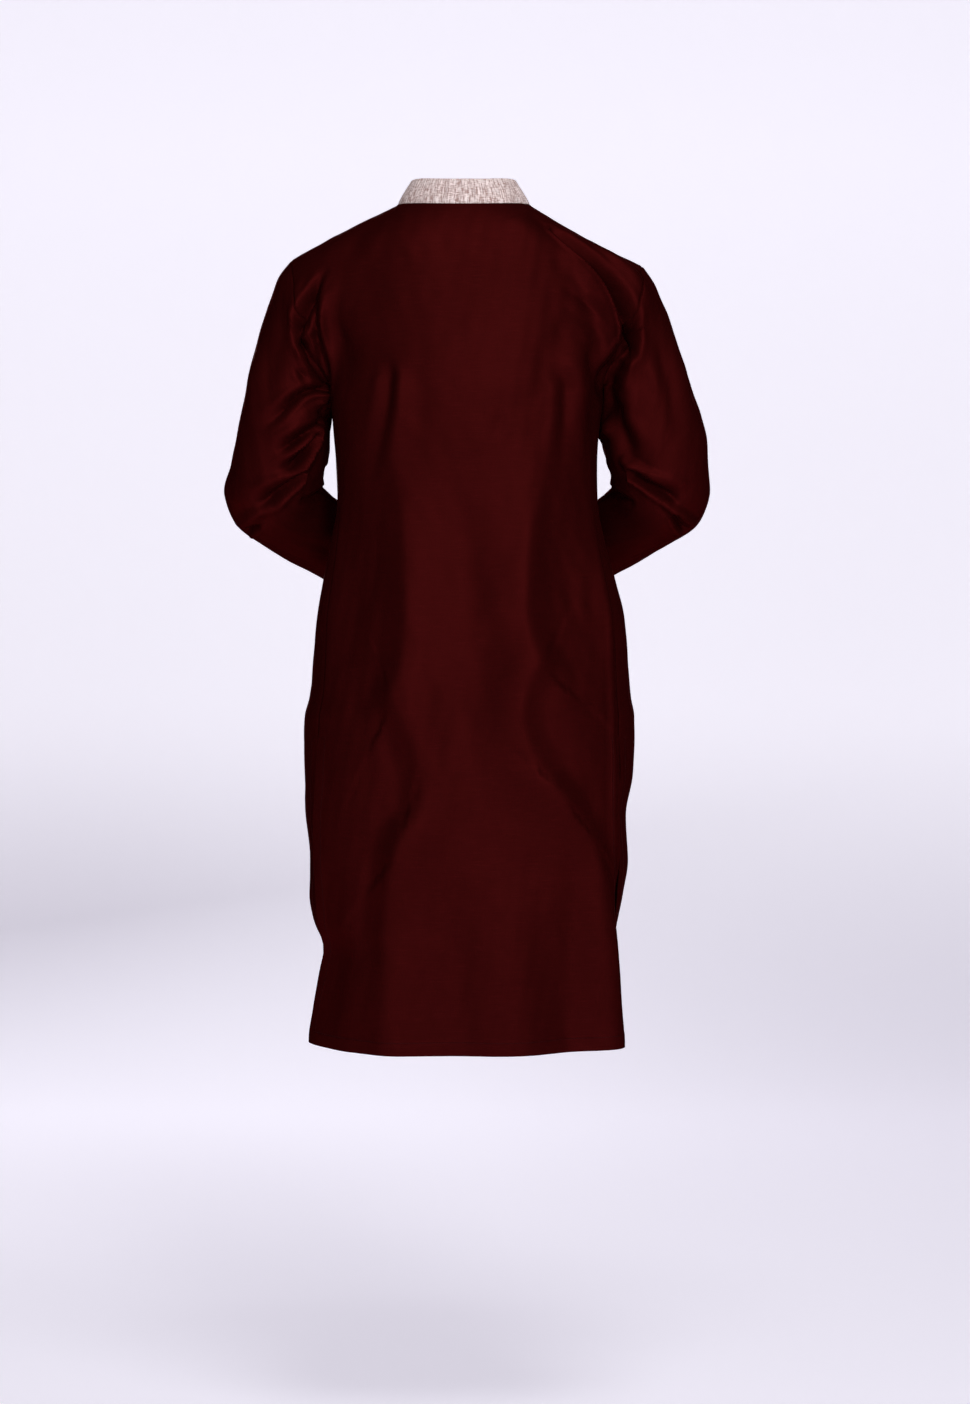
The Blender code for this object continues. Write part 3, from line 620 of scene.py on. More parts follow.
def clothMesh(name, points, out, across, down, marks, material, thick, kept=None, wrap=False, bevel=0.0):
    rows, columns = points.shape[:2]
    index = np.arange(rows * columns).reshape(rows, columns)
    ahead = np.roll(index, -1, axis=1) if wrap else index[:, 1:]
    here = index if wrap else index[:, :-1]
    quads = np.stack([here[:-1], here[1:], ahead[1:], ahead[:-1]], -1)
    wide = across.shape[1] - 1
    u0, u1, v0, v1 = across[:, :wide], across[:, 1:], down[:, :wide], down[:, 1:]
    flat = np.stack([
        np.stack([u0[:-1], u0[1:], u1[1:], u1[:-1]], -1),
        np.stack([v0[:-1], v0[1:], v1[1:], v1[:-1]], -1),
    ], -1)
    if kept is not None:
        quads, flat = quads[kept], flat[kept]
    quads, flat = quads.reshape(-1, 4), flat.reshape(-1, 4, 2)
    spots = points.reshape(-1, 3)
    corner = spots[quads]
    facing = np.cross(corner[:, 1] - corner[:, 0], corner[:, 3] - corner[:, 0])
    if (facing * out.reshape(-1, 3)[quads[:, 0]]).sum() < 0:
        quads, flat = quads[:, ::-1], flat[:, ::-1]
    used, packed = np.unique(quads, return_inverse=True)
    mesh = bpy.data.meshes.new(name)
    mesh.from_pydata(spots[used].tolist(), [], packed.reshape(-1, 4).tolist())
    layer = mesh.uv_layers.new(name="cloth")
    layer.data.foreach_set("uv", flat.astype(np.float32).ravel())
    for label, values in marks.items():
        attribute = mesh.attributes.new(label, "FLOAT", "POINT")
        attribute.data.foreach_set("value", values.reshape(-1)[used].astype(np.float32))
    mesh.materials.append(material)
    piece = placePiece(name, mesh)
    solid = piece.modifiers.new("thickness", "SOLIDIFY")
    solid.thickness = thick
    solid.offset = -1
    solid.use_even_offset = bevel > 0
    bpy.ops.object.modifier_apply(modifier=solid.name)
    if bevel:
        roundEdges(piece, bevel, 3, shell["bevelAngle"])
    bpy.ops.object.shade_smooth_by_angle(angle=np.radians(shell["smoothAngle"]))
    return piece


def dress(piece, slotName, *nodes):
    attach(piece, "root")
    if nodes:
        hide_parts(*nodes)


def stepped(first, last, size):
    return np.linspace(first, last, max(2, round(abs(last - first) / size) + 1))


# uneven hanging of a panel: long waves, short ones, and the pucker beside seams and hem
panel = {"wave": 0.0011, "ripple": 0.0005, "pucker": 0.00035, "hemPucker": 0.00030, "slitFlare": 0.0010,
         "slitFlareLeft": 0.0012, "flareWidth": 0.009, "seamReach": 0.006, "parting": 0.00025,
         "skirtLong": 0.83}


def panelRows():
    slit = 1 + (form["slitTop"] - form["underarmHeight"]) / (form["hem"] - form["underarmHeight"])
    atTop = [0, 0.0035, 0.008, 0.013, 0.02]
    atHem = [1.9785, 1.9815, 1.985, 1.989, 1.9935, 1.9975, 1.9992, 2.0]
    between = (stepped(0.03, 1.0, 0.0098), stepped(1.0, slit, 0.0054), stepped(slit, 1.975, 0.0056))
    return np.unique(np.concatenate([atTop, *between, atHem])), slit


def panelColumns(face, w, centreMetric):
    # even columns, with close ones at fixed distances beside the side edge and the front's opening
    edges = np.array([0.0034, 0.0023, 0.0014, 0.0007, 0.0])
    rate = np.linalg.norm(bodyPoint(face, 1.0, w) - bodyPoint(face, 0.985, w)) / 0.015
    side = 1 - edges / rate
    if centreMetric is None:
        inner = np.concatenate([stepped(0, form["neckShare"], 0.0135),
                                stepped(form["neckShare"], 0.975, 0.0145)[1:]])
    else:
        start = np.linspace(0, form["neckShare"], 80)
        run = bodyPoint(face, start, np.full_like(start, w))[:, 0]
        close = np.interp(centreMetric, run - run[0], start)
        inner = np.concatenate([close, np.linspace(close[-1], form["neckShare"], 24)[1:],
                                stepped(form["neckShare"], 0.975, 0.0145)[1:]])
    half = np.concatenate([inner, side])
    return np.concatenate([-half[:0:-1], half])


def seamWay(face, w, side):
    rows, columns = np.meshgrid(w, side * np.array([0.97, 1.0]), indexing="ij")
    both = [gridNormals(bodyPoint(f, columns, rows), f * side) for f in (1, -1)]
    return unit(both[0][:, 1] + both[1][:, 1])


def panelSurface(face, folds, seed, centreMetric=None):
    rows, slit = panelRows()
    u = np.array([panelColumns(face, w, centreMetric) for w in rows])
    w = np.repeat(rows[:, None], u.shape[1], axis=1)
    base = softenRows(bodyPoint(face, u, w), u, w)
    out = gridNormals(base, face)
    across = alongGrid(base, 1)
    down = alongGrid(base, 0)
    underarm = int(np.argmin(np.abs(rows - 1)))
    fromSide = np.minimum(across, across[:, -1:] - across)
    fromTop, fromHem = down, down[-1:] - down
    sewnSide = np.where(w <= slit, fromSide, np.hypot(fromSide, panel["skirtLong"] * (w - slit)))
    seamNear = np.minimum(fromTop, sewnSide)
    aboveSlit = np.hypot(fromSide, panel["skirtLong"] * (slit - w)) + 0.02
    slitNear = np.where(w > slit, fromSide + 0.003, aboveSlit)
    hemNear = np.minimum(fromHem, slitNear)
    lift = np.zeros(base.shape[:2])
    for fold in folds:
        path = foldPath(fold)
        lift += foldLift(base, out, bodyPoint(face, path[:, 0], path[:, 1]), fold)
    middle = across - across[:, -1:] / 2
    lift += panel["wave"] * ripples(middle / 0.085, down / 0.21, seed) * np.clip(w, 0, 1)
    lift += panel["ripple"] * ripples(middle / 0.034, down / 0.060, seed + 1)
    atArmhole = np.clip(np.minimum(w, 1 - w) / 0.07, 0, 1)
    still = shell["seamStill"]  # beside a seam the cloth lies flat
    lift *= np.maximum(np.clip(seamNear / still, 0, 1) ** 0.8, atArmhole * np.clip(fromTop / still, 0, 1))
    pull = {side: (180 * rows[: underarm + 1], (out * lift[..., None])[: underarm + 1, column])
            for side, column in ((1, -1), (-1, 0))}
    pucker = ripples(across / 0.017, down / 0.017, seed + 2)
    lift += panel["pucker"] * pucker * np.exp(-seamNear / 0.007) * np.clip(seamNear / 0.0015, 0, 1)
    lift += panel["hemPucker"] * pucker * np.exp(-(((hemNear - 0.019) / 0.006) ** 2))
    lift += shell["hemRaise"] * np.clip((silkLook["hemWidth"] - hemNear) / 0.0015, 0, 1)
    if face > 0:
        flare = np.where(u < 0, panel["slitFlare"], panel["slitFlareLeft"])
        opened = np.clip((w - slit) / 0.12, 0, 1) * np.clip((2.02 - w) / 0.14, 0, 1)
        lift += opened * flare * np.exp(-fromSide / panel["flareWidth"])
    points = base + out * lift[..., None]
    # the sewn edges dip inwards, along ways that both neighbours share
    way = out.copy()
    for column, side in ((0, -1), (-1, 1)):
        hole = armholeNormal(180 * np.clip(rows, 0, 1) * face) * (side, 1, 1)
        shared = np.where((rows <= 1)[:, None], hole, seamWay(face, rows, side))
        mine = (across if side < 0 else across[:, -1:] - across) < panel["seamReach"]
        way = np.where(mine[..., None], shared[:, None], way)
    shoulder = np.stack([np.sign(u) * 0.42, np.zeros_like(u), np.full_like(u, 0.91)], -1)
    onShoulder = (fromTop < panel["seamReach"]) & (fromSide > panel["seamReach"])
    onShoulder = onShoulder & (np.abs(u) >= form["neckShare"])
    way = np.where(onShoulder[..., None], shoulder, way)
    onNeck = (np.abs(u) < form["neckShare"]) & (fromTop < 0.01)
    dip = shell["seamDip"] * np.exp(-((seamNear / shell["seamDipWidth"]) ** 2)) * np.where(onNeck, 0.3, 1)
    points = points - way * dip[..., None]
    for column, beside in ((0, 1), (-1, -2)):
        below = rows >= 1
        inwards = unit(points[:, beside] - points[:, column])
        points[below, column] += inwards[below] * panel["parting"]
    level = down - down[underarm]
    marks = {"seamNear": seamNear, "hemNear": hemNear}
    return points, gridNormals(points, face), middle, level, marks, pull


backFolds = makeFolds(
    (0.37, 0.92, 0.355, 1.02, 0.52, 1.13, 0.008, -0.006, 0.2, 0, 0.2),
    (0.305, 0.888, 0.295, 1.028, 0.41, 1.115, 0.013, 0.004, 0, 0, 0.2),
    (0.825, 0.555, 0.73, 0.755, 0.525, 0.978, 0.024, -0.0095, 0.1, 0.2, 0.1),
    (0.8, 0.37, 0.92, 0.462, 1, 0.515, 0.0056, -0.014, 0, 0.1, 1),
    (0.8, 0.43, 0.925, 0.6, 0.945, 0.9, 0.0062, -0.013, 0.2, 0, 0.6),
    (0.82, 0.42, 0.962, 0.6, 0.975, 0.84, 0.005, 0.005, 0, 0, 0.2),
    (0.7, 0.46, 0.86, 0.6, 0.865, 0.8, 0.01, 0.005, 0, 0, 0.1),
    (0.93, 0.3, 1, 0.42, 1, 0.56, 0.009, 0.006, 0, 0, 0),
    (-0.52, 0.24, -0.82, 0.43, -1, 0.56, 0.0066, -0.021, -0.3, 0.3, 1),
    (-0.64, 0.17, -0.93, 0.27, -1, 0.42, 0.014, 0.011, 0, 0.2, 0.3),
    (-0.52, 0.36, -0.8, 0.49, -0.9, 0.7, 0.012, 0.01, 0, 0, 0.5),
    (-1, 0.56, -0.985, 0.76, -0.95, 0.99, 0.009, -0.011, 0, 1, 0.4),
    (-0.485, 0.603, -0.7, 0.593, -0.86, 0.64, 0.007, -0.0036, 0.1, 0, 0.2),
    (-0.5, 0.7, -0.72, 0.68, -0.92, 0.74, 0.009, -0.0034, 0, 0, 0.3),
    (-0.665, 0.74, -0.56, 0.895, -0.61, 1.025, 0.017, 0.0075, 0.15, 0.2, 0.1),
    (-0.405, 0.922, -0.51, 1.04, -0.535, 1.13, 0.011, -0.0065, -0.1, 0, 0.2),
    (-0.86, 0.777, -0.82, 1.005, -0.92, 1.09, 0.022, -0.0085, 0, 0.2, 0.2),
    (-0.165, 1.04, -0.15, 1.065, -0.12, 1.09, 0.007, -0.0016, 0.2, 0, 0),
    (-0.05, 1.095, -0.02, 1.12, 0.03, 1.135, 0.01, -0.001, 0, 0, 0),
    (0.42, 1.04, 0.3, 1.325, 0.39, 1.48, 0.027, 0.0085, -0.35, 0.1, 0.8),
    (0.39, 1.46, 0.2, 1.598, 0.325, 1.7, 0.027, 0.0085, -0.35, 0.7, 0.8),
    (0.31, 1.67, 0.385, 1.828, 0.335, 2, 0.027, 0.009, -0.35, 0.8, 1),
    (-0.45, 1.08, -0.28, 1.325, -0.385, 1.43, 0.027, 0.009, 0.35, 0.1, 0.8),
    (-0.38, 1.41, -0.26, 1.51, -0.495, 1.62, 0.026, 0.0085, 0.35, 0.7, 0.8),
    (-0.45, 1.6, -0.74, 1.728, -0.715, 1.9, 0.025, 0.007, 0.35, 0.8, 0.2),
    (-0.76, 1.68, -0.77, 1.86, -0.745, 2, 0.026, 0.012, -0.2, 0.1, 1),
    (-1, 1.72, -1, 1.87, -1, 2, 0.0135, -0.012, 0, 0.1, 1),
    (-0.925, 1.32, -0.93, 1.55, -0.92, 1.82, 0.005, 0.0022, 0, 0.1, 0.3),
    (-0.52, 1.74, -0.53, 1.88, -0.5, 2, 0.03, -0.006, 0, 0, 0.9),
    (-0.93, 1.2, -0.95, 1.353, -0.93, 1.5, 0.013, 0.0045, 0, 0.1, 0.1),
    (-0.015, 1.74, 0.045, 1.9, 0.05, 2, 0.034, -0.006, 0.1, 0, 1),
    (-0.33, 1.8, -0.4, 1.9, -0.44, 2, 0.03, -0.0045, -0.1, 0, 0.9),
    (0.72, 1.68, 0.84, 1.86, 0.76, 2, 0.03, -0.0065, 0, 0, 0.9),
    (0.6, 1.82, 0.58, 1.9, 0.56, 2, 0.016, 0.003, 0, 0, 0.9),
    (0.87, 1.15, 0.72, 1.3, 0.79, 1.5, 0.028, -0.008, 0, 0.1, 0.1),
    (0.62, 1.15, 0.57, 1.27, 0.66, 1.38, 0.014, -0.003, 0.2, 0, 0),
    (-0.7, 1.14, -0.62, 1.3, -0.72, 1.46, 0.026, -0.008, 0, 0.1, 0.1),
    (-0.155, 1.3, -0.18, 1.56, -0.25, 1.78, 0.044, -0.0026, 0, 0, 0),
    (0.1, 1.12, 0.06, 1.4, 0.08, 1.66, 0.04, -0.0016, 0, 0, 0),
    (0.5, 0.14, 0.63, 0.3, 0.71, 0.5, 0.014, -0.0024, 0, 0, 0.1),
    (-0.3, 0.1, -0.45, 0.24, -0.6, 0.4, 0.013, -0.0024, 0, 0, 0.2),
)
frontFolds = makeFolds(
    (0.78, 0.36, 0.93, 0.5, 0.97, 0.74, 0.009, -0.006, 0.1, 0.1, 0.6),
    (-0.76, 0.38, -0.92, 0.52, -0.97, 0.72, 0.01, -0.0055, -0.1, 0.1, 0.6),
    (0.55, 0.56, 0.77, 0.62, 0.94, 0.74, 0.011, -0.004, 0.1, 0, 0.4),
    (-0.5, 0.6, -0.74, 0.64, -0.93, 0.76, 0.012, -0.0035, 0, 0, 0.4),
    (0.5, 0.8, 0.62, 0.93, 0.8, 1.02, 0.016, -0.005, 0.2, 0, 0.2),
    (-0.46, 0.84, -0.6, 0.96, -0.82, 1.04, 0.017, -0.0045, -0.2, 0, 0.2),
    (0.34, 0.3, 0.4, 0.58, 0.38, 0.86, 0.02, 0.003, 0, 0, 0),
    (-0.36, 0.34, -0.41, 0.6, -0.4, 0.9, 0.018, 0.0028, 0, 0, 0),
    (0.36, 0.98, 0.34, 1.14, 0.44, 1.28, 0.015, -0.005, 0.2, 0, 0.1),
    (-0.4, 0.96, -0.36, 1.12, -0.47, 1.26, 0.014, -0.0055, -0.2, 0, 0.1),
    (0.16, 1.16, 0.3, 1.21, 0.5, 1.19, 0.012, -0.0025, 0, 0, 0.1),
    (-0.55, 1.22, -0.3, 1.25, -0.12, 1.22, 0.012, -0.0022, 0, 0.1, 0),
    (0.78, 1.12, 0.7, 1.26, 0.78, 1.42, 0.024, -0.0055, 0, 0.1, 0.1),
    (-0.8, 1.14, -0.69, 1.29, -0.76, 1.45, 0.026, -0.005, 0, 0.1, 0.1),
    (0.44, 1.3, 0.36, 1.6, 0.42, 2, 0.032, 0.0065, -0.2, 0, 1),
    (-0.4, 1.26, -0.34, 1.58, -0.46, 2, 0.034, 0.0065, 0.2, 0, 1),
    (0.02, 1.42, -0.03, 1.7, 0.05, 2, 0.038, -0.005, 0.1, 0, 1),
    (0.66, 1.6, 0.72, 1.8, 0.66, 2, 0.024, -0.0045, 0, 0, 0.9),
    (-0.68, 1.56, -0.66, 1.78, -0.72, 2, 0.026, -0.0045, 0, 0, 0.9),
    (-0.18, 1.78, -0.2, 1.9, -0.22, 2, 0.022, 0.003, 0, 0, 0.9),
    (0.22, 1.72, 0.21, 1.86, 0.24, 2, 0.024, 0.0032, 0, 0, 0.9),
    (0.86, 1.66, 0.88, 1.82, 0.84, 2, 0.018, 0.003, 0, 0, 0.9),
    (0.46, 0.16, 0.6, 0.3, 0.72, 0.44, 0.012, -0.0018, 0, 0, 0.1),
    (-0.44, 0.18, -0.58, 0.33, -0.7, 0.48, 0.013, -0.0016, 0, 0, 0.1),
)

points, out, middle, down, marks, backPull = panelSurface(1, backFolds, 11)
backSurface = (points, out, marks)
back = clothMesh("backPanel", points, out, middle, down, marks, silk, shell["silkThick"])
dress(back, "silk", "back")
print("back panel sewn")

placket = {"slotHalf": 0.012, "bandHalf": 0.018, "end": -0.410, "gap": 0.0005, "thick": 0.0009,
           "underGap": 0.0011, "crown": 0.0004, "ripple": 0.0002, "softEdge": 0.0003}
centreMetric = np.array([0, 0.0015, 0.003, 0.0045, 0.006, 0.008, 0.010, 0.012, 0.0135, 0.015,
                         0.0165, 0.018, 0.021, 0.0245])  # columns beside the opening
points, out, middle, down, marks, frontPull = panelSurface(-1, frontFolds, 23, centreMetric)
rows, slit = panelRows()
centre = points.shape[1] // 2
slotAt, bandAt = (int(np.searchsorted(centreMetric, placket[half])) for half in ("slotHalf", "bandHalf"))
lastRow = int(np.argmin(np.abs(points[:, centre, 2] - placket["end"])))
kept = np.ones((points.shape[0] - 1, points.shape[1] - 1), bool)
kept[: lastRow - 2, centre - slotAt : centre + slotAt] = False
frontSurface = (points, out, marks)
front = clothMesh("frontPanel", points, out, middle, down, marks, silk, shell["silkThick"], kept)
dress(front, "silk", "front")
print("front panel sewn")

band = slice(centre - bandAt, centre + bandAt + 1)
strip, stripOut = points[: lastRow + 1, band], out[: lastRow + 1, band]
stripAcross, stripDown = middle[: lastRow + 1, band], down[: lastRow + 1, band]
fromEdge = np.minimum(stripAcross - stripAcross[:, :1], stripAcross[:, -1:] - stripAcross)
fromEnd = stripDown[-1:] - stripDown
nearEdge = np.minimum(fromEdge, fromEnd)
# hemNear places the turned edge and the sewn line, with its painted shade, just inside the band's edges
bandMarks = {"seamNear": np.full(strip.shape[:2], 1.0), "hemNear": nearEdge + 0.0145}
crown = placket["crown"] * np.clip(nearEdge / 0.003, 0, 1)
crown = crown + placket["ripple"] * ripples(stripAcross / 0.02, stripDown / 0.03, 5)
overTop = strip + stripOut * (placket["gap"] + placket["thick"] + crown)[..., None]
underTop = strip - stripOut * (shell["silkThick"] + placket["underGap"])
for name, top, node in (("placketOver", overTop, "placket_over"),
                        ("placketUnder", underTop, "placket_under")):
    bandPiece = clothMesh(name, top, stripOut, stripAcross, stripDown, bandMarks, silk,
                          placket["thick"], bevel=placket["softEdge"])
    dress(bandPiece, "silk", node)
print("placket bands sewn")

# a place on a sleeve is a ring number and an angle: 0 at the shoulder, 90 at the back, 180 under the arm
leftSleeveFolds = makeFolds(
    (0, 88, 0.5, 95, 1, 106, 0.0056, -0.012, 0, 0.4, 1),
    (1, 106, 1, 124, 0.6, 150, 0.0066, -0.015, 0, 1, 0.6),
    (1.9, 96, 2.1, 116, 2, 144, 0.005, 0.004, 0, 0.1, 0.5),
    (3.5, 98, 3.4, 112, 3.3, 128, 0.0045, -0.004, 0, 0, 0.2),
    (2.4, 186, 4.4, 186, 6.2, 184, 0.016, 0.01, 0, 0.4, 0),
    (3.6, 146, 5.1, 107, 6.4, 66, 0.005, -0.0095, 0.3, 0.9, 0),
    (3.2, 164, 4.6, 166, 6, 169, 0.0125, -0.013, 0, 0.5, 0.1),
    (4.6, 150, 5.9, 112, 7.1, 78, 0.012, 0.0055, 0, 0.3, 0),
    (5.8, 162, 6.6, 124, 7.2, 98, 0.006, -0.0105, 0.2, 0.6, 0),
    (6.3, 160, 6.95, 130, 7.6, 106, 0.0052, 0.0045, 0, 0.4, 0),
    (6.4, 158, 7.3, 134, 8.1, 110, 0.0064, -0.014, 0.2, 0.7, 0),
    (7.3, 154, 7.9, 134, 8.7, 108, 0.0065, 0.006, 0, 0.5, 0),
    (8.1, 154, 8.7, 130, 9.2, 106, 0.008, -0.017, 0.2, 0.8, 0),
    (9.2, 152, 9.5, 128, 9.9, 98, 0.0072, 0.007, 0, 0.5, 0),
    (9.9, 154, 10.15, 132, 10.3, 112, 0.005, -0.0105, 0.2, 0.8, 0),
    (6.85, 39, 8.15, 8, 9.1, 40, 0.016, 0.004, 0, 0, 0),
    (3.1, 24, 4.75, 40, 6.48, 41, 0.015, 0.0028, 0, 0, 0),
    (1.33, 67, 3.78, 69, 5.65, 64, 0.014, -0.0034, 0, 0.2, 0),
    (6.3, 208, 7.3, 235, 8.2, 262, 0.007, -0.007, 0.1, 0.2, 0),
    (7.1, 210, 7.9, 238, 8.6, 266, 0.008, 0.005, 0, 0.1, 0),
    (7.8, 208, 8.6, 240, 9.2, 270, 0.007, -0.0085, 0, 0.3, 0),
    (8.5, 210, 9.2, 240, 9.7, 268, 0.009, 0.0055, 0, 0.3, 0),
    (9.2, 205, 9.8, 240, 10.3, 274, 0.0065, -0.008, 0, 0.5, 0),
    (3.8, 215, 5, 250, 6.2, 285, 0.0075, -0.0055, 0, 0.4, 0),
    (2, 300, 3.9, 292, 5.8, 300, 0.014, -0.003, 0, 0.2, 0),
    (10.4, 60, 11.2, 50, 12.1, 62, 0.012, -0.0034, 0, 0, 0),
    (11.4, 300, 12.8, 312, 14.2, 300, 0.012, -0.0032, 0, 0, 0.1),
    (11.6, 110, 12.8, 100, 14, 112, 0.013, -0.0032, 0, 0, 0.1),
    (11.4, 205, 12.4, 216, 13.8, 208, 0.012, -0.0032, 0, 0.2, 0),
)
rightSleeveFolds = makeFolds(
    (0, 92, 0.6, 98, 1.2, 110, 0.0066, -0.013, 0, 0.4, 1),
    (1.2, 110, 1.3, 128, 1.9, 146, 0.0078, -0.012, 0, 1, 0.3),
    (2.2, 150, 4.2, 158, 6.3, 166, 0.013, -0.01, 0, 0.3, 0.1),
    (2, 96, 3, 112, 3.6, 132, 0.0085, 0.003, 0, 0.1, 0.1),
    (3, 196, 5.2, 196, 7.3, 190, 0.012, 0.0075, 0, 0.3, 0),
    (7.4, 154, 8.1, 124, 8.7, 97, 0.006, 0.0085, 0, 0.6, 0.1),
    (5.3, 142, 6.5, 136, 7.8, 114, 0.011, -0.009, 0, 0.4, 0.2),
    (8, 152, 8.55, 122, 8.95, 99, 0.0072, -0.0175, 0.2, 0.9, 0),
    (9.1, 146, 9.55, 120, 9.95, 96, 0.0065, 0.008, 0, 0.6, 0),
    (9.5, 150, 9.95, 130, 10.15, 112, 0.0056, -0.013, 0.2, 0.9, 0),
    (3.2, 122, 4.9, 118, 6.9, 112, 0.013, 0.006, 0, 0.2, 0.1),
    (2.3, 66, 4.98, 64, 7.15, 70, 0.013, -0.0045, 0.2, 0.1, 0),
    (2.45, 10, 4.53, 9, 6.53, 35, 0.013, -0.003, 0, 0, 0),
    (1.8, 42, 4.2, 40, 6.6, 52, 0.014, 0.003, 0, 0, 0),
    (6.1, 208, 7.2, 232, 8.3, 258, 0.0075, -0.008, 0, 0.2, 0),
    (7, 210, 7.9, 238, 8.8, 264, 0.008, 0.0055, 0, 0.1, 0),
    (7.9, 208, 8.5, 242, 9.4, 272, 0.007, -0.008, 0.1, 0.3, 0),
    (8.6, 208, 9.1, 242, 9.9, 270, 0.0085, 0.005, 0, 0.3, 0),
    (9.3, 208, 9.7, 244, 10.4, 270, 0.0065, -0.0085, 0, 0.5, 0),
    (4, 218, 5.2, 254, 6.4, 280, 0.008, -0.0055, 0, 0.4, 0),
    (2.2, 305, 4.1, 296, 6.2, 306, 0.014, -0.0032, 0, 0.2, 0),
    (10.6, 56, 11.4, 48, 12.3, 58, 0.011, -0.0036, 0, 0, 0),
    (11.2, 304, 12.6, 314, 14.3, 306, 0.012, -0.0032, 0, 0, 0.1),
    (11.5, 116, 12.6, 104, 13.8, 114, 0.012, -0.0036, 0, 0, 0.1),
    (11.6, 212, 12.7, 206, 13.9, 216, 0.012, -0.003, 0, 0.1, 0),
)


sleeve = {"columns": 112, "wave": 0.0008, "ripple": 0.0004, "pucker": 0.0004, "hemPucker": 0.0003,
          "underarmDip": 0.0006, "pullReach": 0.024, "turnedIn": 0.0008, "besideEnd": -0.40,
          "touchFade": 0.014, "touchFar": 0.020, "touchNear": 0.009}


def sleeveSurface(side, folds, seed):
    places = np.concatenate([[0, 0.05, 0.10, 0.16, 0.24], stepped(0.32, 14.6, 0.055),
                             [14.65, 14.7, 14.75, 14.8, 14.85, 14.9, 14.94, 14.97, 14.99, 15.0]])
    angles = 180 + np.arange(sleeve["columns"]) * 360 / sleeve["columns"]
    base = sleevePoint(side, places, angles)
    out = gridNormals(base, -1, wrap=True)
    closed = np.concatenate([base, base[:, :1]], axis=1)
    across, down = alongGrid(closed, 1), alongGrid(closed, 0)
    fromSeam, fromCuff = down[:, :-1], (down[-1:] - down)[:, :-1]
    underarm = np.minimum(across[:, :-1], across[:, -1:] - across[:, :-1])
    lift = np.zeros(base.shape[:2])
    for fold in folds:
        path = foldPath(fold)
        every = sleevePoint(side, np.concatenate([[0.0], path[:, 0]]), path[:, 1])
        line = every[1 + np.arange(len(path)), np.arange(len(path))]
        lift += foldLift(base, out, line, fold)
    turn = np.radians(angles)[None] + 0 * places[:, None]
    round1, round2 = np.cos(turn) * 0.9, np.sin(turn) * 0.9
    lift += sleeve["wave"] * ripples(round1 + fromSeam / 0.11, round2 - fromSeam / 0.13, seed)
    lift += sleeve["ripple"] * ripples(round1 * 2.2 + fromSeam / 0.05, round2 * 2.2, seed + 1)
    seamNear = np.minimum(fromSeam, underarm)
    lift *= np.clip(fromSeam / shell["seamStill"], 0, 1) ** 0.8
    pucker = ripples(across[:, :-1] / 0.016, down[:, :-1] / 0.016, seed + 2)
    lift += sleeve["pucker"] * pucker * np.exp(-seamNear / 0.006) * np.clip(fromSeam / 0.0015, 0, 1)
    lift += sleeve["hemPucker"] * pucker * np.exp(-(((fromCuff - 0.019) / 0.006) ** 2))
    lift += shell["hemRaise"] * np.clip((silkLook["hemWidth"] - fromCuff) / 0.0015, 0, 1)
    lift -= sleeve["underarmDip"] * np.exp(-((underarm / 0.0016) ** 2))
    points = base + out * lift[..., None]
    # its first rows follow the folds that the panels bring to the armhole
    turned = angles % 360
    shift = np.zeros((len(angles), 3))
    for half, (at, vectors) in ((turned <= 180, backPull[side]), (turned > 180, frontPull[side])):
        at = at if vectors is backPull[side][1] else 360 - at
        order = np.argsort(at)
        for k in range(3):
            shift[half, k] = np.interp(turned[half], at[order], vectors[order, k])
    shift[:, 0] *= side
    points = points + shift[None] * np.exp(-((fromSeam / sleeve["pullReach"]) ** 2))[..., None]
    name = "Left" if side > 0 else "Right"
    x, y, z = points[..., 0], points[..., 1], points[..., 2]
    wide, deep = (
        np.where(y > 0, *(smoothColumn(sections, half + part, z, "z") for half in ("back", "front")))
        for part in (name, "Deep")
    )
    along = np.clip(np.abs(y) / deep, 0, 1) ** (1 / form["faceRound"])
    bodySide = wide * np.sqrt(1 - along**2) ** form["sideRound"] + form["bodyClearance"]
    beside = np.clip((form["underarmHeight"] + 0.010 - z) / 0.008, 0, 1) * (z > sleeve["besideEnd"])
    points[..., 0] += beside * np.maximum(bodySide - x, 0) * np.clip(fromSeam / 0.004, 0, 1)
    # the sleeve lies against the body for the first few centimetres below the arm
    away = points[..., 0] - bodySide
    lower = form["underarmHeight"] - form["contact" + name]
    nearBody = (sleeve["touchFar"] - away) / (sleeve["touchFar"] - sleeve["touchNear"])
    touch = np.clip((z - lower) / sleeve["touchFade"], 0, 1) * np.clip(nearBody, 0, 1) * beside
    points[..., 0] -= away * touch * touch * (3 - 2 * touch)
    dip = shell["seamDip"] * np.exp(-((fromSeam / shell["seamDipWidth"]) ** 2))
    points = points - armholeNormal(angles)[None] * dip[..., None]
    if side < 0:
        points = points * (-1, 1, 1)
    out = gridNormals(points, -side, wrap=True)
    inwards = armholeNormal(angles) * (side, 1, 1)
    # the seam allowance is turned in behind the armhole
    turnedIn = points[:1] - inwards * form["allowance"] - out[:1] * sleeve["turnedIn"]
    points, out, across = (
        np.concatenate([first, rest])
        for first, rest in ((turnedIn, points), (out[:1], out), (across[:1], across))
    )
    down = np.concatenate([down[:1] - form["allowance"], down])
    seamNear, fromCuff = (np.concatenate([rows[:1], rows]) for rows in (seamNear, fromCuff))
    return points, out, across, down, {"seamNear": seamNear, "hemNear": fromCuff}


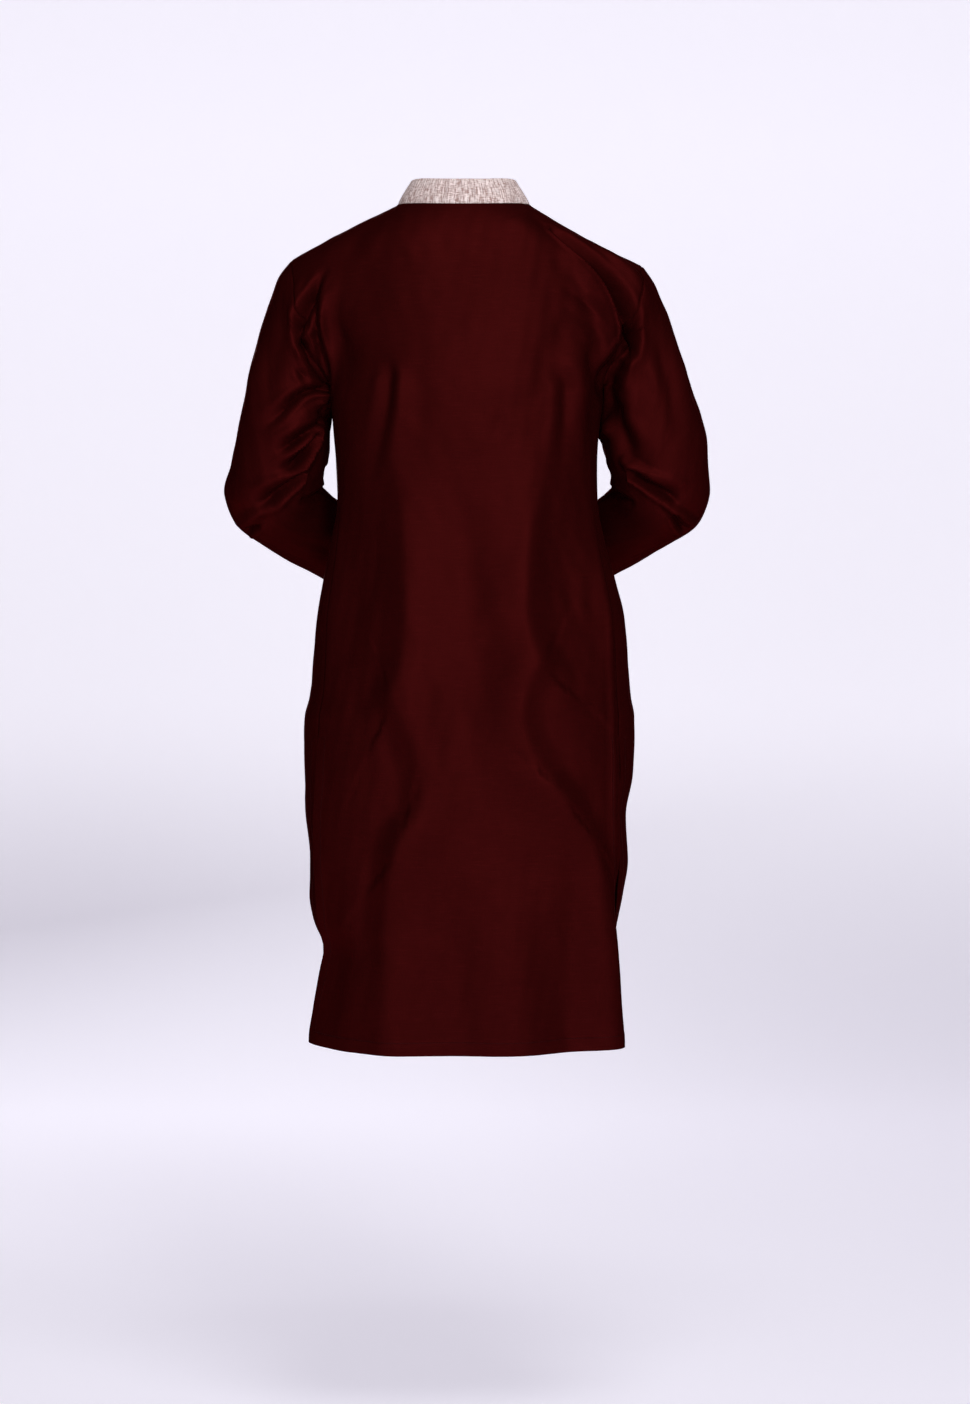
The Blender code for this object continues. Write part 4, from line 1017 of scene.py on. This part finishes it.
sleeveSurfaces = {}
for name, side, folds, seed, node in (("sleeveLeft", 1, leftSleeveFolds, 31, "sleeve_left"),
                                      ("sleeveRight", -1, rightSleeveFolds, 47, "sleeve_right")):
    points, out, across, down, marks = sleeveSurface(side, folds, seed)
    tube = clothMesh(name, points, out, across, down, marks, silk, shell["silkThick"], wrap=True)
    dress(tube, "silk", node)
    sleeveSurfaces[name] = (points, out, down)
print("sleeves sewn")

# the band collar: how far it leans in and how high it rises, by the angle from the centre of the back
collar = {"frontGap": 0.003, "cornerRadius": 0.012, "stations": 220, "steps": 12, "leanRise": 0.031,
          "bow": 0.0006, "tuck": 0.0012, "ripple": 0.0003, "softEdge": 0.0007}
Rise = namedtuple("Rise", "around lean rise")
collarRises = [Rise(0, 0.008, 0.0325), Rise(45, 0.013, 0.0324), Rise(90, 0.0187, 0.0305),
               Rise(135, 0.012, 0.0310), Rise(180, 0.004, 0.0320)]


def collarSurface():
    gapShare = (collar["frontGap"] / form["neckHalfWidth"]) ** (1 / form["sideRound"])
    end = 180 - np.degrees(np.arcsin(gapShare))
    around = np.linspace(end, -end, collar["stations"])
    behind = np.abs(around)
    frontFoot = neckPoint(-1, np.sign(around) * (180 - behind))
    foot = np.where((behind <= 90)[:, None], neckPoint(1, around), frontFoot)
    inward = unit(np.stack([form["neckAside"] - foot[:, 0], -foot[:, 1], np.zeros(len(foot))], -1))
    length = alongGrid(foot[None], 1)[0]
    fromEnd = np.minimum(length, length[-1] - length)
    radius = collar["cornerRadius"]
    rounding = radius - np.sqrt(np.maximum(radius**2 - np.maximum(radius - fromEnd, 0) ** 2, 0))
    height = smoothColumn(collarRises, "rise", behind, "around") - np.minimum(rounding, radius * 0.98)
    lean = smoothColumn(collarRises, "lean", behind, "around") * height / collar["leanRise"]
    shares = np.linspace(1, -0.05, collar["steps"])[:, None, None]
    bow = np.sin(np.pi * shares) * collar["bow"]
    rise = inward * lean[:, None] + np.stack([np.zeros_like(height), np.zeros_like(height), height], -1)
    tuck = collar["tuck"] * np.clip((0.09 - shares) / 0.09, 0, 1)
    points = foot + rise * shares - inward * bow + inward * tuck
    out = gridNormals(points, -1)
    across, share = np.broadcast_arrays(length[None], shares[..., 0])
    wave = collar["ripple"] * ripples(across / 0.05, share * 1.2, 71)
    return points + out * wave[..., None], out, across, height[None] * (1 - share)


points, out, across, down = collarSurface()
marks = {"seamNear": np.full(points.shape[:2], 1.0), "hemNear": np.full(points.shape[:2], 1.0)}
collarTop = (points, out)
# the slubs of the collar cloth stand upright, so its map is turned
bandCollar = clothMesh("bandCollar", points, out, down, across, marks, collarCloth,
                       shell["collarThick"], bevel=collar["softEdge"])
dress(bandCollar, "collar_weave", "collar")
print("collar sewn")

# buttons, with a rim and four holes, and their thread
button = {"radius": 0.006, "thick": 0.0024, "rim": 0.0011, "dish": 0.0006, "dishStep": 0.0005,
          "hole": 0.00062, "holeSpread": 0.0013, "softEdge": 0.00025, "seat": 0.0003,
          "threadRise": 0.0001, "sides": 40, "holeSides": 14, "smoothAngle": 35}


def buttonPlace(number):
    node = f"button_{number}"
    low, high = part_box(node)
    middle = (low + high) / 2
    heights = strip[::-1, bandAt, 2]
    normal, place = (
        Vector([float(np.interp(middle.z, heights, grid[::-1, bandAt, k])) for k in range(3)])
        for grid in (stripOut, overTop)
    )
    return node, place, normal.normalized()


def holePlace(number, height):
    turn = np.pi / 4 + number * np.pi / 2
    return Vector((button["holeSpread"] * np.cos(turn), button["holeSpread"] * np.sin(turn), height))


def makeButton():
    bpy.ops.object.select_all(action="DESELECT")
    bpy.ops.mesh.primitive_cylinder_add(vertices=button["sides"], radius=button["radius"],
                                        depth=button["thick"], location=(0, 0, button["thick"] / 2))
    piece = bpy.context.object
    bpy.ops.object.transform_apply(location=True, rotation=True, scale=True)
    bpy.ops.object.mode_set(mode="EDIT")
    bpy.ops.mesh.select_all(action="DESELECT")
    edit = bmesh.from_edit_mesh(piece.data)
    for face in edit.faces:
        face.select = face.normal.z > 0.9
    bmesh.update_edit_mesh(piece.data)
    bpy.ops.mesh.inset(thickness=button["rim"])
    bpy.ops.mesh.inset(thickness=button["dishStep"])
    bpy.ops.transform.translate(value=(0, 0, -button["dish"]))
    bpy.ops.object.mode_set(mode="OBJECT")
    for k in range(4):
        bpy.ops.mesh.primitive_cylinder_add(vertices=button["holeSides"], radius=button["hole"],
                                            depth=button["thick"] * 2,
                                            location=holePlace(k, button["thick"] / 2))
        drill = bpy.context.object
        choose(piece)
        cut = piece.modifiers.new("hole", "BOOLEAN")
        cut.operation = "DIFFERENCE"
        cut.object = drill
        bpy.ops.object.modifier_apply(modifier=cut.name)
        bpy.data.objects.remove(drill)
    choose(piece)
    roundEdges(piece, button["softEdge"], 2, button["smoothAngle"])
    bpy.ops.object.shade_smooth_by_angle(angle=np.radians(button["smoothAngle"]))
    piece.data.materials.clear()
    piece.data.materials.append(buttonShell)
    return piece


def sewOn(model, number):  # a copy of the button with its own mesh
    node, place, normal = buttonPlace(number)
    piece = placePiece(f"button{number}", model.data.copy())
    turn = normal.to_track_quat("Z", "Y").to_matrix().to_4x4()
    seat = Matrix.Translation(place + normal * button["seat"]) @ turn
    piece.data.transform(seat)
    dress(piece, "button_shell", node)
    return seat


threads = []
threadHeight = button["thick"] - button["dish"] + button["threadRise"]
model = makeButton()
for number in (1, 2, 3, 4):
    seat = sewOn(model, number)
    for pair in ((0, 1), (2, 3)):
        start, end = (np.array(seat @ holePlace(k, threadHeight)) for k in pair)
        threads.append((start, end, np.array(seat.to_3x3() @ Vector((0, 0, 1)))))
bpy.data.objects.remove(model)
print("buttons made")


# every stitch is one small spindle of thread
def stitchesAlong(line, normals):
    length = alongGrid(line[None], 1)[0]
    pitch = sewing["stitch"] + sewing["gap"]
    made = []
    for start in np.arange(0.001, length[-1] - sewing["stitch"], pitch):
        ends = (start, start + sewing["stitch"])
        a, b = (np.array([np.interp(s, length, line[:, k]) for k in range(3)]) for s in ends)
        halfWay = start + sewing["stitch"] / 2
        n = unit(np.array([np.interp(halfWay, length, normals[:, k]) for k in range(3)]))
        made.append((a, b, n))
    return made


def stitchMesh(name, stitches, material, slotName, wide=1.0):
    corners, faces = [], []
    for a, b, n in stitches:
        across = unit(np.cross(b - a, n)) * sewing["wide"] * wide
        high = n * sewing["high"] * wide
        first = len(corners)
        for share, size in ((0.0, 0.45), (0.3, 1.0), (0.7, 1.0), (1.0, 0.45)):
            spot = a + (b - a) * share - n * 0.00005
            corners += [spot + across * size, spot + high * size, spot - across * size, spot - n * 0.0001]
        for ring in range(3):
            for k in range(4):
                p, q = first + ring * 4 + k, first + ring * 4 + (k + 1) % 4
                faces.append((p, q, q + 4, p + 4))
        faces.append((first + 3, first + 2, first + 1, first))
        faces.append((first + 12, first + 13, first + 14, first + 15))
    mesh = bpy.data.meshes.new(name)
    mesh.from_pydata([tuple(c) for c in corners], [], faces)
    mesh.materials.append(material)
    piece = placePiece(name, mesh)
    bpy.ops.object.mode_set(mode="EDIT")
    bpy.ops.mesh.select_all(action="SELECT")
    bpy.ops.mesh.normals_make_consistent(inside=False)
    bpy.ops.object.mode_set(mode="OBJECT")
    bpy.ops.object.shade_smooth()
    dress(piece, slotName)


def lineAt(surface, distance, value):
    # the places on a grid where a distance from an edge has this value, read column by column
    points, out = surface
    line, normals = [], []
    for c in range(points.shape[1]):
        order = np.argsort(distance[:, c])
        at = [np.interp(value, distance[order, c], points[order, c, k]) for k in range(3)]
        facing = [np.interp(value, distance[order, c], out[order, c, k]) for k in range(3)]
        line.append(at)
        normals.append(facing)
    return np.array(line), unit(np.array(normals))


stitches = []
hemLine = silkLook["hemWidth"] - sewing["inside"]
for points, out, marks in (backSurface, frontSurface):
    down = alongGrid(points, 0)
    line, normals = lineAt((points, out), down[-1:] - down, hemLine)
    inner = slice(8, -8)
    stitches += stitchesAlong(line[inner], normals[inner])
    slitRow = int(np.argmin(np.abs(rows - slit)))
    hemRow = int(np.searchsorted(rows, 1.981))
    across = alongGrid(points, 1)
    for distance in (across, across[:, -1:] - across):
        some = slice(slitRow, hemRow)
        turnedGrid = (points[some].swapaxes(0, 1), out[some].swapaxes(0, 1))
        line, normals = lineAt(turnedGrid, distance[some].T, hemLine - 0.003)
        stitches += stitchesAlong(line, normals)
for points, out, down in sleeveSurfaces.values():
    line, normals = lineAt((points, out), (down[-1:] - down)[:, :-1], hemLine)
    stitches += stitchesAlong(np.concatenate([line, line[:1]]), np.concatenate([normals, normals[:1]]))
for edge in (2, -3):
    stitches += stitchesAlong(overTop[:-3, edge], stripOut[:-3, edge])
for row in (-4, -4 - round(0.034 / 0.0038)):  # a box is sewn across the band's foot
    stitches += stitchesAlong(overTop[row, 2:-2], stripOut[row, 2:-2])
stitchMesh("hemStitches", stitches, thread, "silk")
points, out = collarTop
across = np.arange(2, points.shape[1] - 2)
upper = stitchesAlong(points[1, across], out[1, across])
lower = stitchesAlong(points[-2, across], out[-2, across])
stitchMesh("collarStitches", upper + lower, collarThread, "collar_weave")
stitchMesh("buttonThreads", threads, thread, "silk", 1.6)
print("stitches sewn:", len(stitches), len(upper) + len(lower))

# a plain pale studio, its lamps and the camera
room = {
    "floor": -1.53,
    "wallY": -5.2,
    "wallTop": 6.0,
    "nearEdge": 4.5,
    "halfWidth": 8.0,
    "sweep": 2.6,
    "sweepSteps": 32,
    "glowRise": 0.95,
    "cameraPlace": (-0.023, 3.6, -0.630),
    "lens": 72.7,
    "wall": (0.86, 0.85, 0.90, 1),
    # painted light: how brightly the backdrop glows up the wall and down on the floor
    "glowHigh": (0.575, 0.552, 0.612, 1),
    "glowLow": (0.255, 0.235, 0.285, 1),
    "world": (0.93, 0.93, 1.0, 1),
    "worldStrength": 0.10,
}


def makeRoom():
    bpy.ops.object.select_all(action="DESELECT")
    bpy.ops.mesh.primitive_plane_add(size=1, location=(0, 0, room["floor"]))
    floor = bpy.context.object
    floor.name = "studioFloor"
    bend = []
    for k in range(room["sweepSteps"] + 1):
        turn = np.pi / 2 * k / room["sweepSteps"]
        y = room["wallY"] + room["sweep"] * (1 - np.sin(turn))
        bend.append((y, room["floor"] + room["sweep"] * (1 - np.cos(turn))))
    profile = [(room["nearEdge"], room["floor"])] + bend + [(room["wallY"], room["wallTop"])]
    corners = [(x, y, z) for y, z in profile for x in (-room["halfWidth"], room["halfWidth"])]
    faces = [(2 * i, 2 * i + 1, 2 * i + 3, 2 * i + 2) for i in range(len(profile) - 1)]
    mesh = bpy.data.meshes.new("studioFloor")
    mesh.from_pydata(corners, [], faces)
    mesh.shade_smooth()
    floor.location = (0, 0, 0)
    floor.data = mesh
    paint = bpy.data.materials.new("studioPaintAndGlow")
    paint.use_nodes = True
    tree = paint.node_tree
    shader = tree.nodes["Principled BSDF"]
    # painted light: the wall and the floor glow softly, dimmer near the floor and brighter up the wall, so
    # that the wall is as pale as the floor without a lamp of its own
    place = tree.nodes.new("ShaderNodeTexCoord")
    split = tree.nodes.new("ShaderNodeSeparateXYZ")
    tree.links.new(place.outputs["Object"], split.inputs[0])
    height = rangeNode(tree, split.outputs[2], room["floor"], room["floor"] + room["glowRise"])
    glow = mixColour(tree, height, room["glowLow"], room["glowHigh"])
    tree.links.new(glow, shader.inputs["Emission Color"])
    shader.inputs["Emission Strength"].default_value = 1.0
    shader.inputs["Base Color"].default_value = room["wall"]
    shader.inputs["Roughness"].default_value = 0.9
    shader.inputs["Specular IOR Level"].default_value = 0.1
    mesh.materials.append(paint)


Lamp = namedtuple("Lamp", "name place target size power")
lamps = [
    Lamp("keyLight", (-0.9, 3.3, 0.3), (0, 0, -0.5), 0.9, 46),
    Lamp("fillLight", (0.8, 3.5, -0.2), (0, 0, -0.6), 1.0, 16),
    Lamp("topLight", (-0.4, 1.3, 2.3), (0, 0, -0.2), 1.3, 34),
    Lamp("frontLight", (0.9, -3.4, 0.5), (0, 0, -0.5), 1.6, 30),
]


def addLight(lamp):
    data = bpy.data.lights.new(lamp.name, "AREA")
    data.shape = "DISK"
    data.size = lamp.size
    data.energy = lamp.power
    light = bpy.data.objects.new(lamp.name, data)
    light.location = lamp.place
    light.rotation_euler = (Vector(lamp.target) - light.location).to_track_quat("-Z", "Y").to_euler()
    light.visible_camera = False
    bpy.context.scene.collection.objects.link(light)


makeRoom()
for lamp in lamps:
    addLight(lamp)
world = bpy.data.worlds.new("studioAir")
world.use_nodes = True
background = world.node_tree.nodes["Background"]
background.inputs["Color"].default_value = room["world"]
background.inputs["Strength"].default_value = room["worldStrength"]
bpy.context.scene.world = world
camera = bpy.data.objects.new("camera", bpy.data.cameras.new("camera"))
camera.location = room["cameraPlace"]
camera.rotation_euler = (np.pi / 2, 0, np.pi)
camera.data.lens = room["lens"]
camera.data.sensor_width = 36
bpy.context.scene.collection.objects.link(camera)
bpy.context.scene.camera = camera
print("camera and light set")
